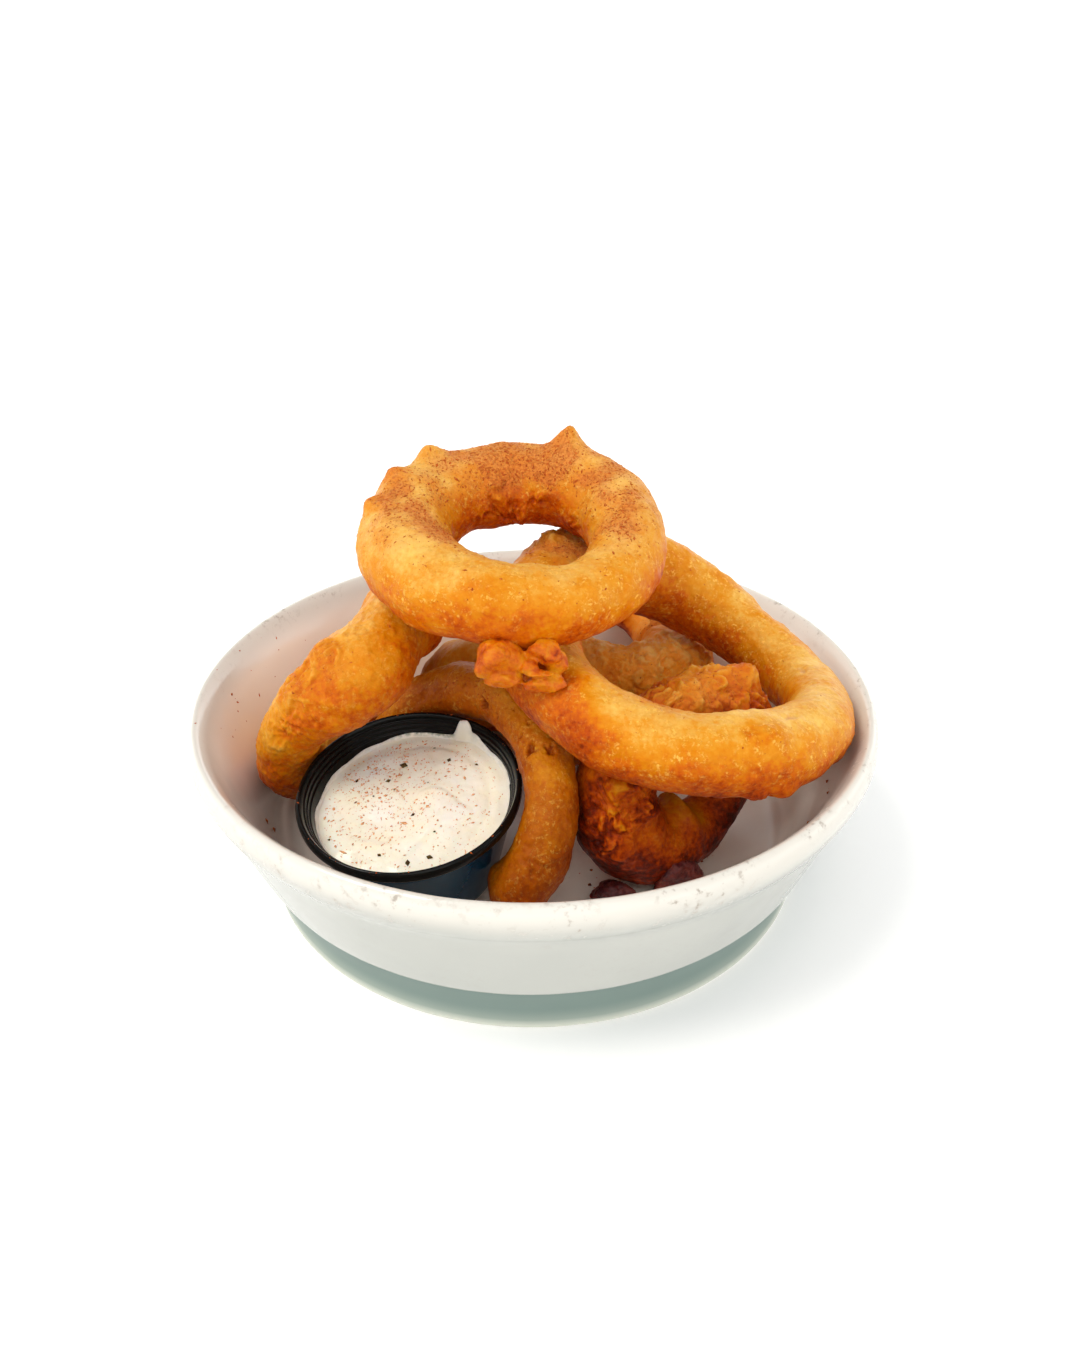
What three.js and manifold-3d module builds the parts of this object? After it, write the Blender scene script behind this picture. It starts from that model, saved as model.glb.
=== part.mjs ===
// Onion rings side: battered rings piled in a thick white bowl, with a black sauce cup of dip.
// Millimetres, +Z up. The origin is the middle of the bowl's foot, where it stands on the table.
import * as THREE from 'three';
import Module from 'manifold-3d';
import { mergeVertices } from 'three/addons/utils/BufferGeometryUtils.js';

// ---- driving dimensions -------------------------------------------------------------------

const BOWL = {
  rimRadius: 100.2, // widest point of the lip
  height: 56.8,
  floorLevel: 9,
  floorRadius: 66, // flat part of the floor inside
  coveCorner: 79, // where floor and wall would meet without their wide cove
  coveTop: { radius: 84, level: 28 },
  lipDrop: 8.3, // how far the lip's rounding reaches down the inside
  lipInset: 8, // how far the inside wall lies within the rim there
  lipBand: 9.4, // height of the thick band round the rim outside
  wallFoot: { radius: 87, level: 17.2 }, // crisp lower edge of the wall
  creaseInset: 3.6, // the wall tucks in by this much under the lip band
  foot: { radius: 82.6, neck: 81.2, height: 15.4, rest: 78.2 }, // ring it stands on
  recess: { radius: 70, depth: 4 }, // hollow under the bowl
  facets: 60,
};

const CUP = {
  rimCentre: [-34, -37.3, 43.8],
  tilt: 10.1, // degrees from upright
  tiltToward: -102.3, // azimuth the rim leans to
  rimRadius: 31,
  baseRadius: 22.5,
  height: 31,
  wall: 1.1,
  lip: { height: 3, width: 2.2 },
  shoulder: 5.5, // depth at which the straight taper starts
  facets: 36,
};

const DIP = {
  depth: 7, // below the rim at the middle
  slope: [1.6, 30], // higher by this much toward this azimuth, in degrees, lower opposite
  mound: 1.2, // higher in the middle
  ripple: 0.5,
  gap: 0.3, // clear of the cup's wall
  facets: 32,
  steps: 5,
};

// Each ring is a tube along a closed oval. The oval lies in a plane that leans by `lean`
// degrees toward azimuth `toward`, turned by `spin` in that plane. `long` and `wide` are the
// half axes of its middle line and `thick` the tube's radius. The tube swells by a share at one
// side (`swell`), is pinched on two sides (`pinch`), and the ring is bent like a saddle (`bend`,
// mm). Each pair is [amount, degrees round the ring]. `crags` are [round the ring, round the
// tube, height, spread], with 0 round the tube pointing outward and 90 along the ring's axis. A
// crag of negative height is a dent, where the batter lay against a neighbour as it set.
const RINGS = {
  ring_top: {
    centre: [-3.9, -1.7, 100.8], lean: 13.5, toward: -84.7, spin: 83.1,
    long: 30.7, wide: 28.9, thick: 11.5, swell: [0.096, 151], pinch: [0.046, 31], bend: [0.7, 54],
    crags: [[67, 72, 5.5, 4], [136, 70, 3.6, 4.5], [158, 62, 2, 4], [177, 44, 1.5, 3.5],
      [107, 170, 1.6, 4.5], [88, 188, 1.8, 4]],
  },
  ring_left: {
    centre: [-55.3, 1.9, 52.8], lean: 57.7, toward: 159.7, spin: -174,
    long: 29.4, wide: 27.1, thick: 10.75, swell: [0.19, 95], pinch: [0.098, 15], bend: [2.4, 86],
    crags: [[307, 62, 1.6, 4], [292, 42, 1.3, 6], [278, 38, 1.1, 6],
      [308, 288, 5.5, 11], [326, 288, 3, 9], [288, 290, 4, 8]],
  },
  ring_front: {
    centre: [41.9, -6.4, 65.5], lean: 17.5, toward: -13.2, spin: 12.7,
    long: 42.5, wide: 44.7, thick: 11.4, swell: [0.172, 142], pinch: [0.09, -57], bend: [3.8, -53],
    crags: [[148, 56, 2.4, 4], [291, 60, 1.2, 3.5], [289, 322, 1.4, 3], [297, 330, 2, 2.6]],
  },
  ring_by_cup: {
    centre: [-22, -24, 29.2], lean: 52.8, toward: -141.2, spin: -5,
    long: 32.2, wide: 36.1, thick: 8.8, swell: [0.05, -9], pinch: [0.03, 75], bend: [0.5, 120],
    span: [66, 317], // a broken ring: it runs only between these angles
    crags: [[186, 60, 0.9, 5], [106, 170, -2.9, 10], [128, 172, -1.6, 8], [130, 305, -1.6, 8]],
  },
  ring_low: {
    centre: [41.2, -26.8, 38.2], lean: 81.9, toward: -60.3, spin: 116.6,
    long: 22, wide: 19.1, thick: 10.6, swell: [0.141, 98], pinch: [0.159, 7], bend: [1, 47],
    crags: [[28, 12, 4.6, 4], [131, 62, 1.8, 4.5], [150, 118, 2.4, 4.5], [172, 60, 2, 5],
      [59, 40, 1.4, 6], [240, 175, 7.5, 8], [145, 345, -1.4, 7]],
  },
  ring_middle: {
    centre: [27.7, 49.2, 42.6], lean: 15.9, toward: -18.1, spin: 59.9,
    long: 22.9, wide: 23.8, thick: 10.5, swell: [0.148, -146], pinch: [0.203, -59], bend: [1.9, 66],
    crags: [[344, 108, 4.6, 7], [262, 100, 1.2, 5], [294, 142, 3.6, 7], [352, 168, 3, 6],
      [330, 84, 2.4, 9]],
  },
  ring_back: {
    centre: [-5.9, 29.2, 31.4], lean: 42.8, toward: 58.6, spin: -89.7,
    long: 21.4, wide: 21.4, thick: 10.9, swell: [0.032, 129], pinch: [0.034, -26], bend: [5.1, -87],
    crags: [],
  },
};
// Waves of unevenness in the batter: [times round the ring, times round the tube, at, height].
const LUMPS = [[3, 1, 40, 0.35], [7, -2, 100, 0.25], [11, 1, 200, 0.2]];
const RING_FACETS = { around: 38, tube: 14 };
const BREAK_ROUNDING = 1.1; // a broken end is rounded over this many tube radii

// Loose scraps of fried batter: centre, half sizes, turn about Z in degrees, unevenness.
const SCRAPS = {
  batter_scrap: [
    { centre: [-8.2, -40, 84.6], half: [6.6, 5.4, 6.4], turn: 25, uneven: 0.1 },
    { centre: [2.8, -40.6, 84], half: [5.8, 4.8, 5.4], turn: -20, uneven: 0.14 },
    { centre: [1.6, -41, 79.4], half: [5.6, 4, 3.4], turn: 5, uneven: 0.12 },
  ],
  onion_bit_right: [{ centre: [40.5, -44.5, 16], half: [7, 3, 6.4], turn: 14, uneven: 0.14 }],
  onion_bit_front: [{ centre: [22.5, -46.5, 13], half: [6.4, 3.6, 3.4], turn: -8, uneven: 0.14 }],
};
const SCRAP_FACETS = { around: 14, rows: 9 };
const REST_GAP = 0.3; // between things that touch

// ---- materials ----------------------------------------------------------------------------

const GLAZE = new THREE.MeshStandardMaterial({ color: 0xf0efe8, roughness: 0.25, metalness: 0 });
const BLACK_PLASTIC = new THREE.MeshStandardMaterial({ color: 0x14181b, roughness: 0.2, metalness: 0 });
const CREAM_DIP = new THREE.MeshStandardMaterial({ color: 0xf3e4cf, roughness: 0.45, metalness: 0 });
const BATTER = new THREE.MeshStandardMaterial({ color: 0xd58a24, roughness: 0.55, metalness: 0 });
const DARK_BATTER = new THREE.MeshStandardMaterial({ color: 0xb4561c, roughness: 0.55, metalness: 0 });

// ---- helpers ------------------------------------------------------------------------------

const radians = THREE.MathUtils.degToRad;
const point = (radius, level) => new THREE.Vector2(radius, level);

/** A closed profile of radius and level, turned about +Z. */
function turned(profile, facets) {
  return new THREE.LatheGeometry(profile, facets).rotateX(Math.PI / 2);
}

/** Indexed geometry from a list of vertices and a list of triangles. */
function facetedGeometry(vertices, triangles) {
  const geometry = new THREE.BufferGeometry();
  const coordinates = vertices.flatMap((vertex) => vertex.toArray());
  geometry.setAttribute('position', new THREE.Float32BufferAttribute(coordinates, 3));
  geometry.setIndex(triangles.flat());
  return geometry;
}

/** Triangles between row after row of `count` vertices, each row a loop, the rows as given. */
function strips(rows, count, closed) {
  const triangles = [];
  for (let row = 0; row < (closed ? rows : rows - 1); row += 1) {
    const next = (row + 1) % rows;
    for (let i = 0; i < count; i += 1) {
      const a = row * count + i;
      const b = row * count + ((i + 1) % count);
      const c = next * count + i;
      const d = next * count + ((i + 1) % count);
      triangles.push([a, c, b], [b, c, d]);
    }
  }
  return triangles;
}

/** A fan of triangles from the vertex `tip` to the loop that starts at `first`. */
function fan(tip, first, count, inward) {
  return Array.from({ length: count }, (_, i) => {
    const [a, b] = [first + i, first + ((i + 1) % count)];
    return inward ? [tip, b, a] : [tip, a, b];
  });
}

function named(name, geometry, material) {
  const mesh = new THREE.Mesh(geometry, material);
  mesh.name = name;
  return mesh;
}

// ---- bowl ---------------------------------------------------------------------------------

function bowlGeometry(bowl) {
  const { foot, recess, wallFoot, coveTop } = bowl;
  const lipLevel = bowl.height - bowl.lipBand;
  const cove = new THREE.QuadraticBezierCurve(
    point(coveTop.radius, coveTop.level),
    point(bowl.coveCorner, bowl.floorLevel),
    point(bowl.floorRadius, bowl.floorLevel),
  );
  const outside = [
    point(0, recess.depth),
    point(recess.radius, recess.depth),
    point(foot.rest - 3, 0),
    point(foot.radius - 0.6, 0),
    point(foot.radius, 1),
    point(foot.neck, 5.3),
    point(foot.neck, foot.height),
    point(wallFoot.radius - 1.5, wallFoot.level - 1.2),
    point(wallFoot.radius, wallFoot.level),
    point(bowl.rimRadius - bowl.creaseInset, lipLevel - 3.6),
  ];
  const lip = [
    point(bowl.rimRadius - 1.2, lipLevel),
    point(bowl.rimRadius, bowl.height - 5),
    point(bowl.rimRadius - 1.1, bowl.height - 1.2),
    point(bowl.rimRadius - 3, bowl.height),
    point(bowl.rimRadius - 5.2, bowl.height - 2.6),
    point(bowl.rimRadius - bowl.lipInset, bowl.height - bowl.lipDrop),
  ];
  const inside = [...cove.getPoints(4), point(0, bowl.floorLevel)];
  return turned([...outside, ...lip, ...inside], bowl.facets);
}

// ---- sauce cup and dip --------------------------------------------------------------------

/** Inside radius of the cup at a depth below its rim. */
function cupInside(depth) {
  const { shoulder, height, wall, rimRadius, baseRadius, lip } = CUP;
  const neck = rimRadius - lip.width;
  const share = THREE.MathUtils.clamp((depth - shoulder) / (height - shoulder), 0, 1);
  return THREE.MathUtils.lerp(neck, baseRadius, share) - wall * 1.05;
}

function cupGeometry() {
  const { rimRadius, baseRadius, height, shoulder, wall, lip, facets } = CUP;
  const neck = rimRadius - lip.width;
  return turned([
    point(0, -height),
    point(baseRadius, -height),
    point(neck, -shoulder),
    point(neck, -lip.height),
    point(rimRadius, -lip.height),
    point(rimRadius, -0.5),
    point(rimRadius - 0.6, 0),
    point(rimRadius - 1.5, 0),
    point(cupInside(shoulder) + 0.7, -lip.height),
    point(cupInside(shoulder), -shoulder),
    point(cupInside(height - wall), wall - height),
    point(0, wall - height),
  ], facets);
}

/** Height of the dip's surface above its middle level at a share of its radius and an angle. */
function dipSurface(share, angle) {
  const side = share * wave(DIP.slope, angle, 1);
  const mound = DIP.mound * (1 - share * share);
  const swirl = DIP.ripple * Math.sin(Math.PI * share) * Math.cos(2 * angle + 4 * share);
  return side + mound + swirl;
}

function dipGeometry() {
  const { facets, steps, gap, depth } = DIP;
  const floor = CUP.wall + gap - CUP.height;
  const vertices = [];
  const loop = (radiusAt, levelAt) => {
    for (let i = 0; i < facets; i += 1) {
      const angle = (2 * Math.PI * i) / facets;
      const level = levelAt(angle);
      const radius = radiusAt(level);
      vertices.push(new THREE.Vector3(radius * Math.cos(angle), radius * Math.sin(angle), level));
    }
  };
  const wallRadius = (level) => cupInside(-level) * Math.cos(Math.PI / CUP.facets) - gap;
  loop(wallRadius, () => floor);
  for (let step = 0; step < steps; step += 1) {
    const share = 1 - step / steps;
    loop((level) => share * wallRadius(level), (angle) => dipSurface(share, angle) - depth);
  }
  const bottom = vertices.push(new THREE.Vector3(0, 0, floor)) - 1;
  const middle = vertices.push(new THREE.Vector3(0, 0, dipSurface(0, 0) - depth)) - 1;
  const last = steps * facets;
  const sides = strips(steps + 1, facets, false).map(([a, b, c]) => [a, c, b]);
  return facetedGeometry(vertices, [
    ...sides, ...fan(bottom, 0, facets, true), ...fan(middle, last, facets, false),
  ]);
}

/** The cup and its dip, tipped toward the front of the bowl. */
function cupGroup() {
  const group = new THREE.Group();
  const [tilt, toward] = [radians(CUP.tilt), radians(CUP.tiltToward)];
  const axis = new THREE.Vector3(
    Math.sin(tilt) * Math.cos(toward), Math.sin(tilt) * Math.sin(toward), Math.cos(tilt),
  );
  group.quaternion.setFromUnitVectors(new THREE.Vector3(0, 0, 1), axis);
  group.position.set(...CUP.rimCentre);
  group.add(named('sauce_cup', cupGeometry(), BLACK_PLASTIC), named('dip', dipGeometry(), CREAM_DIP));
  return group;
}

// ---- battered rings -----------------------------------------------------------------------

/** A value that waves once or twice round the ring: amount * cos(times * (angle - at)). */
const wave = ([amount, at], angle, times) => amount * Math.cos(times * (angle - radians(at)));

/** The ring's own axes: two in its plane and one across it. */
function ringAxes(ring) {
  const turn = new THREE.Matrix4()
    .makeRotationZ(radians(ring.toward))
    .multiply(new THREE.Matrix4().makeRotationY(radians(ring.lean)))
    .multiply(new THREE.Matrix4().makeRotationZ(radians(ring.spin)));
  return [new THREE.Vector3(), new THREE.Vector3(), new THREE.Vector3()].map(
    (axis, i) => axis.setFromMatrixColumn(turn, i),
  );
}

/** A point of the ring's middle line, measured from the ring's centre. */
function middleLine(ring, [u, v, n], angle) {
  return new THREE.Vector3()
    .addScaledVector(u, ring.long * Math.cos(angle))
    .addScaledVector(v, ring.wide * Math.sin(angle))
    .addScaledVector(n, wave(ring.bend, angle, 2));
}

/** The smaller angle between two directions, in radians. */
function apart(a, b) {
  return Math.abs(THREE.MathUtils.euclideanModulo(a - b + Math.PI, 2 * Math.PI) - Math.PI);
}

/** How far lumps and crags lift the batter at a place on the tube, the lumps' sum crossing zero. */
function relief(ring, angle, around, radius) {
  const start = radians(ring.spin);
  const lumps = LUMPS.map(([along, across, at, height]) => (
    height * Math.cos(along * (angle + start) + across * around - radians(at))));
  const crags = ring.crags.map(([at, roundTube, height, spread]) => {
    const along = (apart(angle, radians(at)) * (ring.long + ring.wide)) / 2;
    const across = apart(around, radians(roundTube)) * radius;
    return height * Math.exp(-((along / spread) ** 2) - (across / spread) ** 2);
  });
  return [...lumps, ...crags].reduce((sum, lift) => sum + lift, 0);
}

/** A ring's tube, `grown` mm fatter than it is. A ring with a span gets rounded broken ends. */
function ringGeometry(ring, grown = 0) {
  const { around, tube } = RING_FACETS;
  const axes = ringAxes(ring);
  const open = Boolean(ring.span);
  const [from, to] = (ring.span ?? [0, 360]).map(radians);
  const rows = around + (open ? 1 : 0);
  const centre = new THREE.Vector3(...ring.centre);
  const small = 1e-3;
  const endLength = (BREAK_ROUNDING * ring.thick * 2) / (ring.long + ring.wide);
  const vertices = [];
  for (let row = open ? 1 : 0; row < (open ? rows - 1 : rows); row += 1) {
    const angle = from + ((to - from) * row) / around;
    const spine = middleLine(ring, axes, angle);
    const along = middleLine(ring, axes, angle + small).sub(spine).normalize();
    const outward = spine.clone().addScaledVector(along, -spine.dot(along)).normalize();
    const upward = new THREE.Vector3().crossVectors(outward, along);
    const swollen = 1 + wave(ring.swell, angle, 1) + wave(ring.pinch, angle, 2);
    const toEnd = open ? Math.min(angle - from, to - angle) / endLength : 1;
    const rounding = toEnd < 1 ? Math.sqrt(1 - (1 - toEnd) ** 2) : 1;
    for (let i = 0; i < tube; i += 1) {
      const roundTube = (2 * Math.PI * i) / tube;
      const radius = ring.thick * swollen;
      const reach = rounding * (radius + relief(ring, angle, roundTube, radius)) + grown;
      vertices.push(spine.clone().add(centre)
        .addScaledVector(outward, reach * Math.cos(roundTube))
        .addScaledVector(upward, reach * Math.sin(roundTube)));
    }
  }
  const rowCount = vertices.length / tube;
  const triangles = strips(rowCount, tube, !open);
  if (open) {
    const tips = [from, to].map((angle) => vertices.push(middleLine(ring, axes, angle).add(centre)) - 1);
    triangles.push(...fan(tips[0], 0, tube, false));
    triangles.push(...fan(tips[1], (rowCount - 1) * tube, tube, true));
  }
  return facetedGeometry(vertices, triangles);
}

// ---- scraps of batter and onion -----------------------------------------------------------

/** An egg-shaped lump with a few bulges, the bulges being waves round and down it. */
function lumpGeometry({ centre, half, turn, uneven }) {
  const { around, rows } = SCRAP_FACETS;
  const vertices = [];
  const at = (down, angle) => {
    const bulge = 1 + uneven * (Math.sin(3 * angle + 2 * down) + 0.6 * Math.cos(2 * angle - 3 * down));
    return new THREE.Vector3(
      half[0] * bulge * Math.sin(down) * Math.cos(angle),
      half[1] * bulge * Math.sin(down) * Math.sin(angle),
      half[2] * Math.cos(down),
    );
  };
  for (let row = 1; row < rows; row += 1) {
    for (let i = 0; i < around; i += 1) {
      vertices.push(at((Math.PI * row) / rows, (2 * Math.PI * i) / around));
    }
  }
  const top = vertices.push(new THREE.Vector3(0, 0, half[2])) - 1;
  const bottom = vertices.push(new THREE.Vector3(0, 0, -half[2])) - 1;
  const triangles = [
    ...strips(rows - 1, around, false),
    ...fan(top, 0, around, false),
    ...fan(bottom, (rows - 2) * around, around, true),
  ];
  return facetedGeometry(vertices, triangles).rotateZ(radians(turn)).translate(...centre);
}

const wasm = await Module();
wasm.setup();

function toSolid(geometry) {
  const bare = geometry.clone();
  bare.deleteAttribute('normal');
  bare.deleteAttribute('uv');
  const merged = mergeVertices(bare);
  return new wasm.Manifold(new wasm.Mesh({
    numProp: 3,
    vertProperties: merged.attributes.position.array,
    triVerts: Uint32Array.from(merged.index.array),
  }));
}

function toGeometry(solid) {
  const mesh = solid.getMesh();
  const geometry = new THREE.BufferGeometry();
  geometry.setAttribute('position', new THREE.BufferAttribute(mesh.vertProperties, 3));
  geometry.setIndex(new THREE.BufferAttribute(mesh.triVerts, 1));
  return geometry;
}

/** The lumps of one scrap joined, less what lies within a small gap of the rings it rests on. */
function scrapGeometry(lumps, restsOn) {
  const joined = lumps.map((lump) => toSolid(lumpGeometry(lump))).reduce((all, next) => all.add(next));
  return toGeometry(restsOn.reduce(
    (rest, name) => rest.subtract(toSolid(ringGeometry(RINGS[name], REST_GAP))), joined,
  ));
}

// ---- the whole side -----------------------------------------------------------------------

const side = new THREE.Group();
side.add(named('bowl', bowlGeometry(BOWL), GLAZE), cupGroup());
for (const [name, ring] of Object.entries(RINGS)) {
  side.add(named(name, ringGeometry(ring), BATTER));
}
for (const [name, lumps] of Object.entries(SCRAPS)) {
  const neighbours = name === 'batter_scrap' ? ['ring_top', 'ring_front', 'ring_by_cup'] : ['ring_low'];
  side.add(named(name, scrapGeometry(lumps, neighbours), DARK_BATTER));
}

export default side;
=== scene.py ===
# %% [markdown]
# # An onion rings side in a bowl
# Seven battered onion rings lie in a thick white bowl, with a black portion cup of dip among them.
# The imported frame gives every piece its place. This lesson gives each one its real surface: crisp
# batter with crags and bubbles, worn white glaze, thin glossy plastic, and a soft, speckled dip.

# %% Load the frame
import itertools
import math

import bpy
import numpy as np
from mathutils import Matrix, Vector


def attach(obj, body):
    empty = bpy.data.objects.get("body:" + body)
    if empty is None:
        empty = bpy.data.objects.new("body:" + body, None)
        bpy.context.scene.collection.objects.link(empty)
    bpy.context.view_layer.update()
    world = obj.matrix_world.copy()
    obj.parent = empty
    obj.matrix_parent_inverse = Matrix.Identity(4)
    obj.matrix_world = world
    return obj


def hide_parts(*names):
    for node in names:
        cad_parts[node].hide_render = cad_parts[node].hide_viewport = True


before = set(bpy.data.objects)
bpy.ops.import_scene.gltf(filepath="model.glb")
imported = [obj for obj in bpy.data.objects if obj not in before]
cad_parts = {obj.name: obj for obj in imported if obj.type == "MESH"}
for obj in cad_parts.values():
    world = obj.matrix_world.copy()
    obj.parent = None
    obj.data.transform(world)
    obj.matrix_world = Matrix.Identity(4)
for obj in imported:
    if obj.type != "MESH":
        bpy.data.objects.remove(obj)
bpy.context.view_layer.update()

MM = 0.001
print("nodes in the frame:", sorted(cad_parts))

# %% [markdown]
# ## Surfaces as grids of points
# Everything here is a grid of points: the rows follow a path or a profile, and the columns go
# round it. A grid is worked out as one array in millimetres, and its faces are arrays too.
# Sculpting by hand would give the same forms, but no one could change a size afterwards.

# %% Grids and meshes
def grid_faces(rows, columns, loop_rows=False, loop_columns=True):
    """Quads (a, next row, next row and column, next column) for each cell of a grid, numbered row by row.
    They face along (row direction) x (column direction). A looped side joins its last line to its
    first."""
    row = np.arange(rows if loop_rows else rows - 1)[:, None]
    column = np.arange(columns if loop_columns else columns - 1)[None, :]
    next_row, next_column = (row + 1) % rows, (column + 1) % columns
    corners = (row * columns + column, next_row * columns + column,
               next_row * columns + next_column, row * columns + next_column)
    return np.stack(np.broadcast_arrays(*corners), axis=-1).reshape(-1, 4)


def fan_faces(tip, first, columns):
    """Triangles from the vertex `tip` to each pair of neighbours in the loop that starts at `first`."""
    start = np.arange(columns)
    return np.stack([np.full(columns, tip), first + start, first + (start + 1) % columns], axis=-1)


def between_tips(rows, columns):
    """The faces of a grid of closed loops, and a fan at each end to a tip. The tips are the two vertices
    that follow the grid."""
    count = rows * columns
    return [grid_faces(rows, columns), fan_faces(count, 0, columns),
            fan_faces(count + 1, count - columns, columns)[:, ::-1]]


def make_piece(name, points, faces, material, slot, replaces=None, **values):
    """A smooth mesh from points in mm and a list of face arrays. `values` holds one number for each
    point, kept as attributes that the material reads."""
    mesh = bpy.data.meshes.new(name)
    mesh.from_pydata(points.reshape(-1, 3) * MM, [], [face for part in faces for face in part.tolist()])
    mesh.polygons.foreach_set("use_smooth", np.ones(len(mesh.polygons), bool))
    for key, numbers in values.items():
        attribute = mesh.attributes.new(key, "FLOAT", "POINT")
        attribute.data.foreach_set("value", np.ascontiguousarray(numbers, np.float32).ravel())
    mesh.update()
    piece = bpy.data.objects.new(name, mesh)
    bpy.context.scene.collection.objects.link(piece)
    mesh.materials.append(material)
    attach(piece, "root")
    if replaces:
        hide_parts(replaces)
    triangles = sum(len(part) * (part.shape[1] - 2) for part in faces)
    print(name, len(mesh.vertices), "points,", triangles, "triangles")
    return piece


# %% [markdown]
# ## Noise that is worked out, not drawn
# Frying leaves batter uneven at every size, from swellings a finger wide to bubbles of a
# millimetre. Two kinds of noise give that. Smooth noise sums gentle slopes at the corners of a
# cubic grid. Scattered centres, one in each cube, give bubbles their round tops.
# Both take real points in millimetres, so a bump has the size that it is asked to have.

# %% Smooth noise and scattered centres
SLOPES = np.array([p for p in itertools.product((-1, 0, 1), repeat=3) if sum(map(abs, p)) == 2], float)
HASH_FACTORS = np.array([374761393, 668265263, 2147483647])
SEED_FACTOR, MIXING_FACTOR, LOW_32_BITS = 144665, 1274126177, 0xFFFFFFFF


def hashed(cells, seed):
    """A whole number for each cell: its coordinates times large odd numbers, mixed by two shifts."""
    mixed = ((cells * HASH_FACTORS).sum(-1) + seed * SEED_FACTOR) & LOW_32_BITS
    mixed = ((mixed ^ (mixed >> 13)) * MIXING_FACTOR) & LOW_32_BITS
    return mixed ^ (mixed >> 16)


def noise(points, size, seed=0):
    """Smooth noise of about -1 to 1 whose bumps lie `size` mm apart: at each point the slopes of the eight
    corners round it, blended by 6f^5 - 15f^4 + 10f^3 of the distance f from each."""
    scaled = points / size + seed * 7.31
    cell = np.floor(scaled).astype(np.int64)
    offset = scaled - cell
    ease = offset ** 3 * (offset * (offset * 6 - 15) + 10)
    total = np.zeros(points.shape[:-1])
    for corner in itertools.product((0, 1), repeat=3):
        slope = SLOPES[hashed(cell + np.array(corner), seed) % len(SLOPES)]
        weight = np.where(corner, ease, 1 - ease).prod(-1)
        total += weight * ((offset - corner) * slope).sum(-1)
    return 1.5 * total


def nearest_centre(points, size, seed=0):
    """Distance in mm to the nearest of centres scattered one to each cube of side `size`, and that
    centre's own number from 0 to 1."""
    scaled = points / size
    cell = np.floor(scaled).astype(np.int64)
    best, own = np.full(points.shape[:-1], 9.0), np.zeros(points.shape[:-1])
    for step in itertools.product((-1, 0, 1), repeat=3):
        near = cell + np.array(step)
        place = np.stack([hashed(near, seed + k) % 1000 / 1000 for k in range(3)], axis=-1)
        apart = np.linalg.norm(near + place - scaled, axis=-1)
        closer = apart < best
        own = np.where(closer, hashed(near, seed + 3) % 1000 / 1000, own)
        best = np.where(closer, apart, best)
    return best * size, own


def bubbles(points, size, reach, share, seed=0):
    """Domes of height 0 to 1: 1 - (distance / reach)^2 within `reach` mm, on that share of the centres."""
    apart, own = nearest_centre(points, size, seed)
    return np.clip(1 - (apart / reach) ** 2, 0, 1) * (own < share)


def ridges(points, size, seed=0):
    """Sharp crests and round valleys of -1 to 1: 1 - 2 |noise|."""
    return 1 - 2 * np.abs(noise(points, size, seed))


def smooth_step(low, high, value):
    """0 below `low`, 1 above `high`, and 3f^2 - 2f^3 between."""
    f = np.clip((value - low) / (high - low), 0, 1)
    return f * f * (3 - 2 * f)


probe = np.random.default_rng(1).uniform(-50, 50, (4000, 3))
print("noise from %.2f to %.2f" % (noise(probe, 5).min(), noise(probe, 5).max()))

# %% [markdown]
# ## Two helpers for materials
# Colours are written as the hex values one would pick on a screen, and one function turns them to
# the linear values that the renderer adds and multiplies. One more function adds any node with
# its settings and its links, so a material reads as a list of steps.

# %% Material helpers
def linear(hex_colour):
    """Linear red, green, blue and 1 of an sRGB hex colour: c / 12.92 up to 0.04045, and above it
    ((c + 0.055) / 1.055)^2.4."""
    parts = [int(hex_colour[i:i + 2], 16) / 255 for i in (1, 3, 5)]
    return tuple(c / 12.92 if c <= 0.04045 else ((c + 0.055) / 1.055) ** 2.4 for c in parts) + (1.0,)


def add(tree, kind, out=0, stops=(), **settings):
    """Adds a node and gives back its output `out`, by number or name. A setting with a capital is a
    socket (with _ for a space), i6 is socket 6, and either takes a value, a hex colour or another node's
    output. Any other setting is the node's own property. `stops` are (place, hex colour) pairs of a
    colour ramp."""
    node = tree.nodes.new("ShaderNode" + kind)
    for name, value in settings.items():
        numbered = name[0] == "i" and name[1:].isdigit()
        if not numbered and not name[0].isupper():
            setattr(node, name, value)
            continue
        socket = node.inputs[int(name[1:]) if numbered else name.replace("_", " ")]
        if isinstance(value, bpy.types.NodeSocket):
            tree.links.new(value, socket)
        else:
            socket.default_value = linear(value) if isinstance(value, str) else value
    for k, (place, colour) in enumerate(stops):
        elements = node.color_ramp.elements
        element = elements[k] if k < 2 else elements.new(place)
        element.position, element.color = place, linear(colour)
    return node.outputs[out] if node.outputs else node


def start_material(name, **principled):
    """A material with an output, a Principled BSDF with the given values, and Object coordinates. Gives
    back the material, its node tree, the shader and the coordinates."""
    material = bpy.data.materials.new(name)
    material.use_nodes = True
    tree = material.node_tree
    tree.nodes.clear()
    shader = add(tree, "BsdfPrincipled", **principled)
    add(tree, "OutputMaterial", Surface=shader)
    return material, tree, shader.node, add(tree, "TexCoord", "Object")


print("sRGB #808080 is %.3f linear" % linear("#808080")[0])
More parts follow.
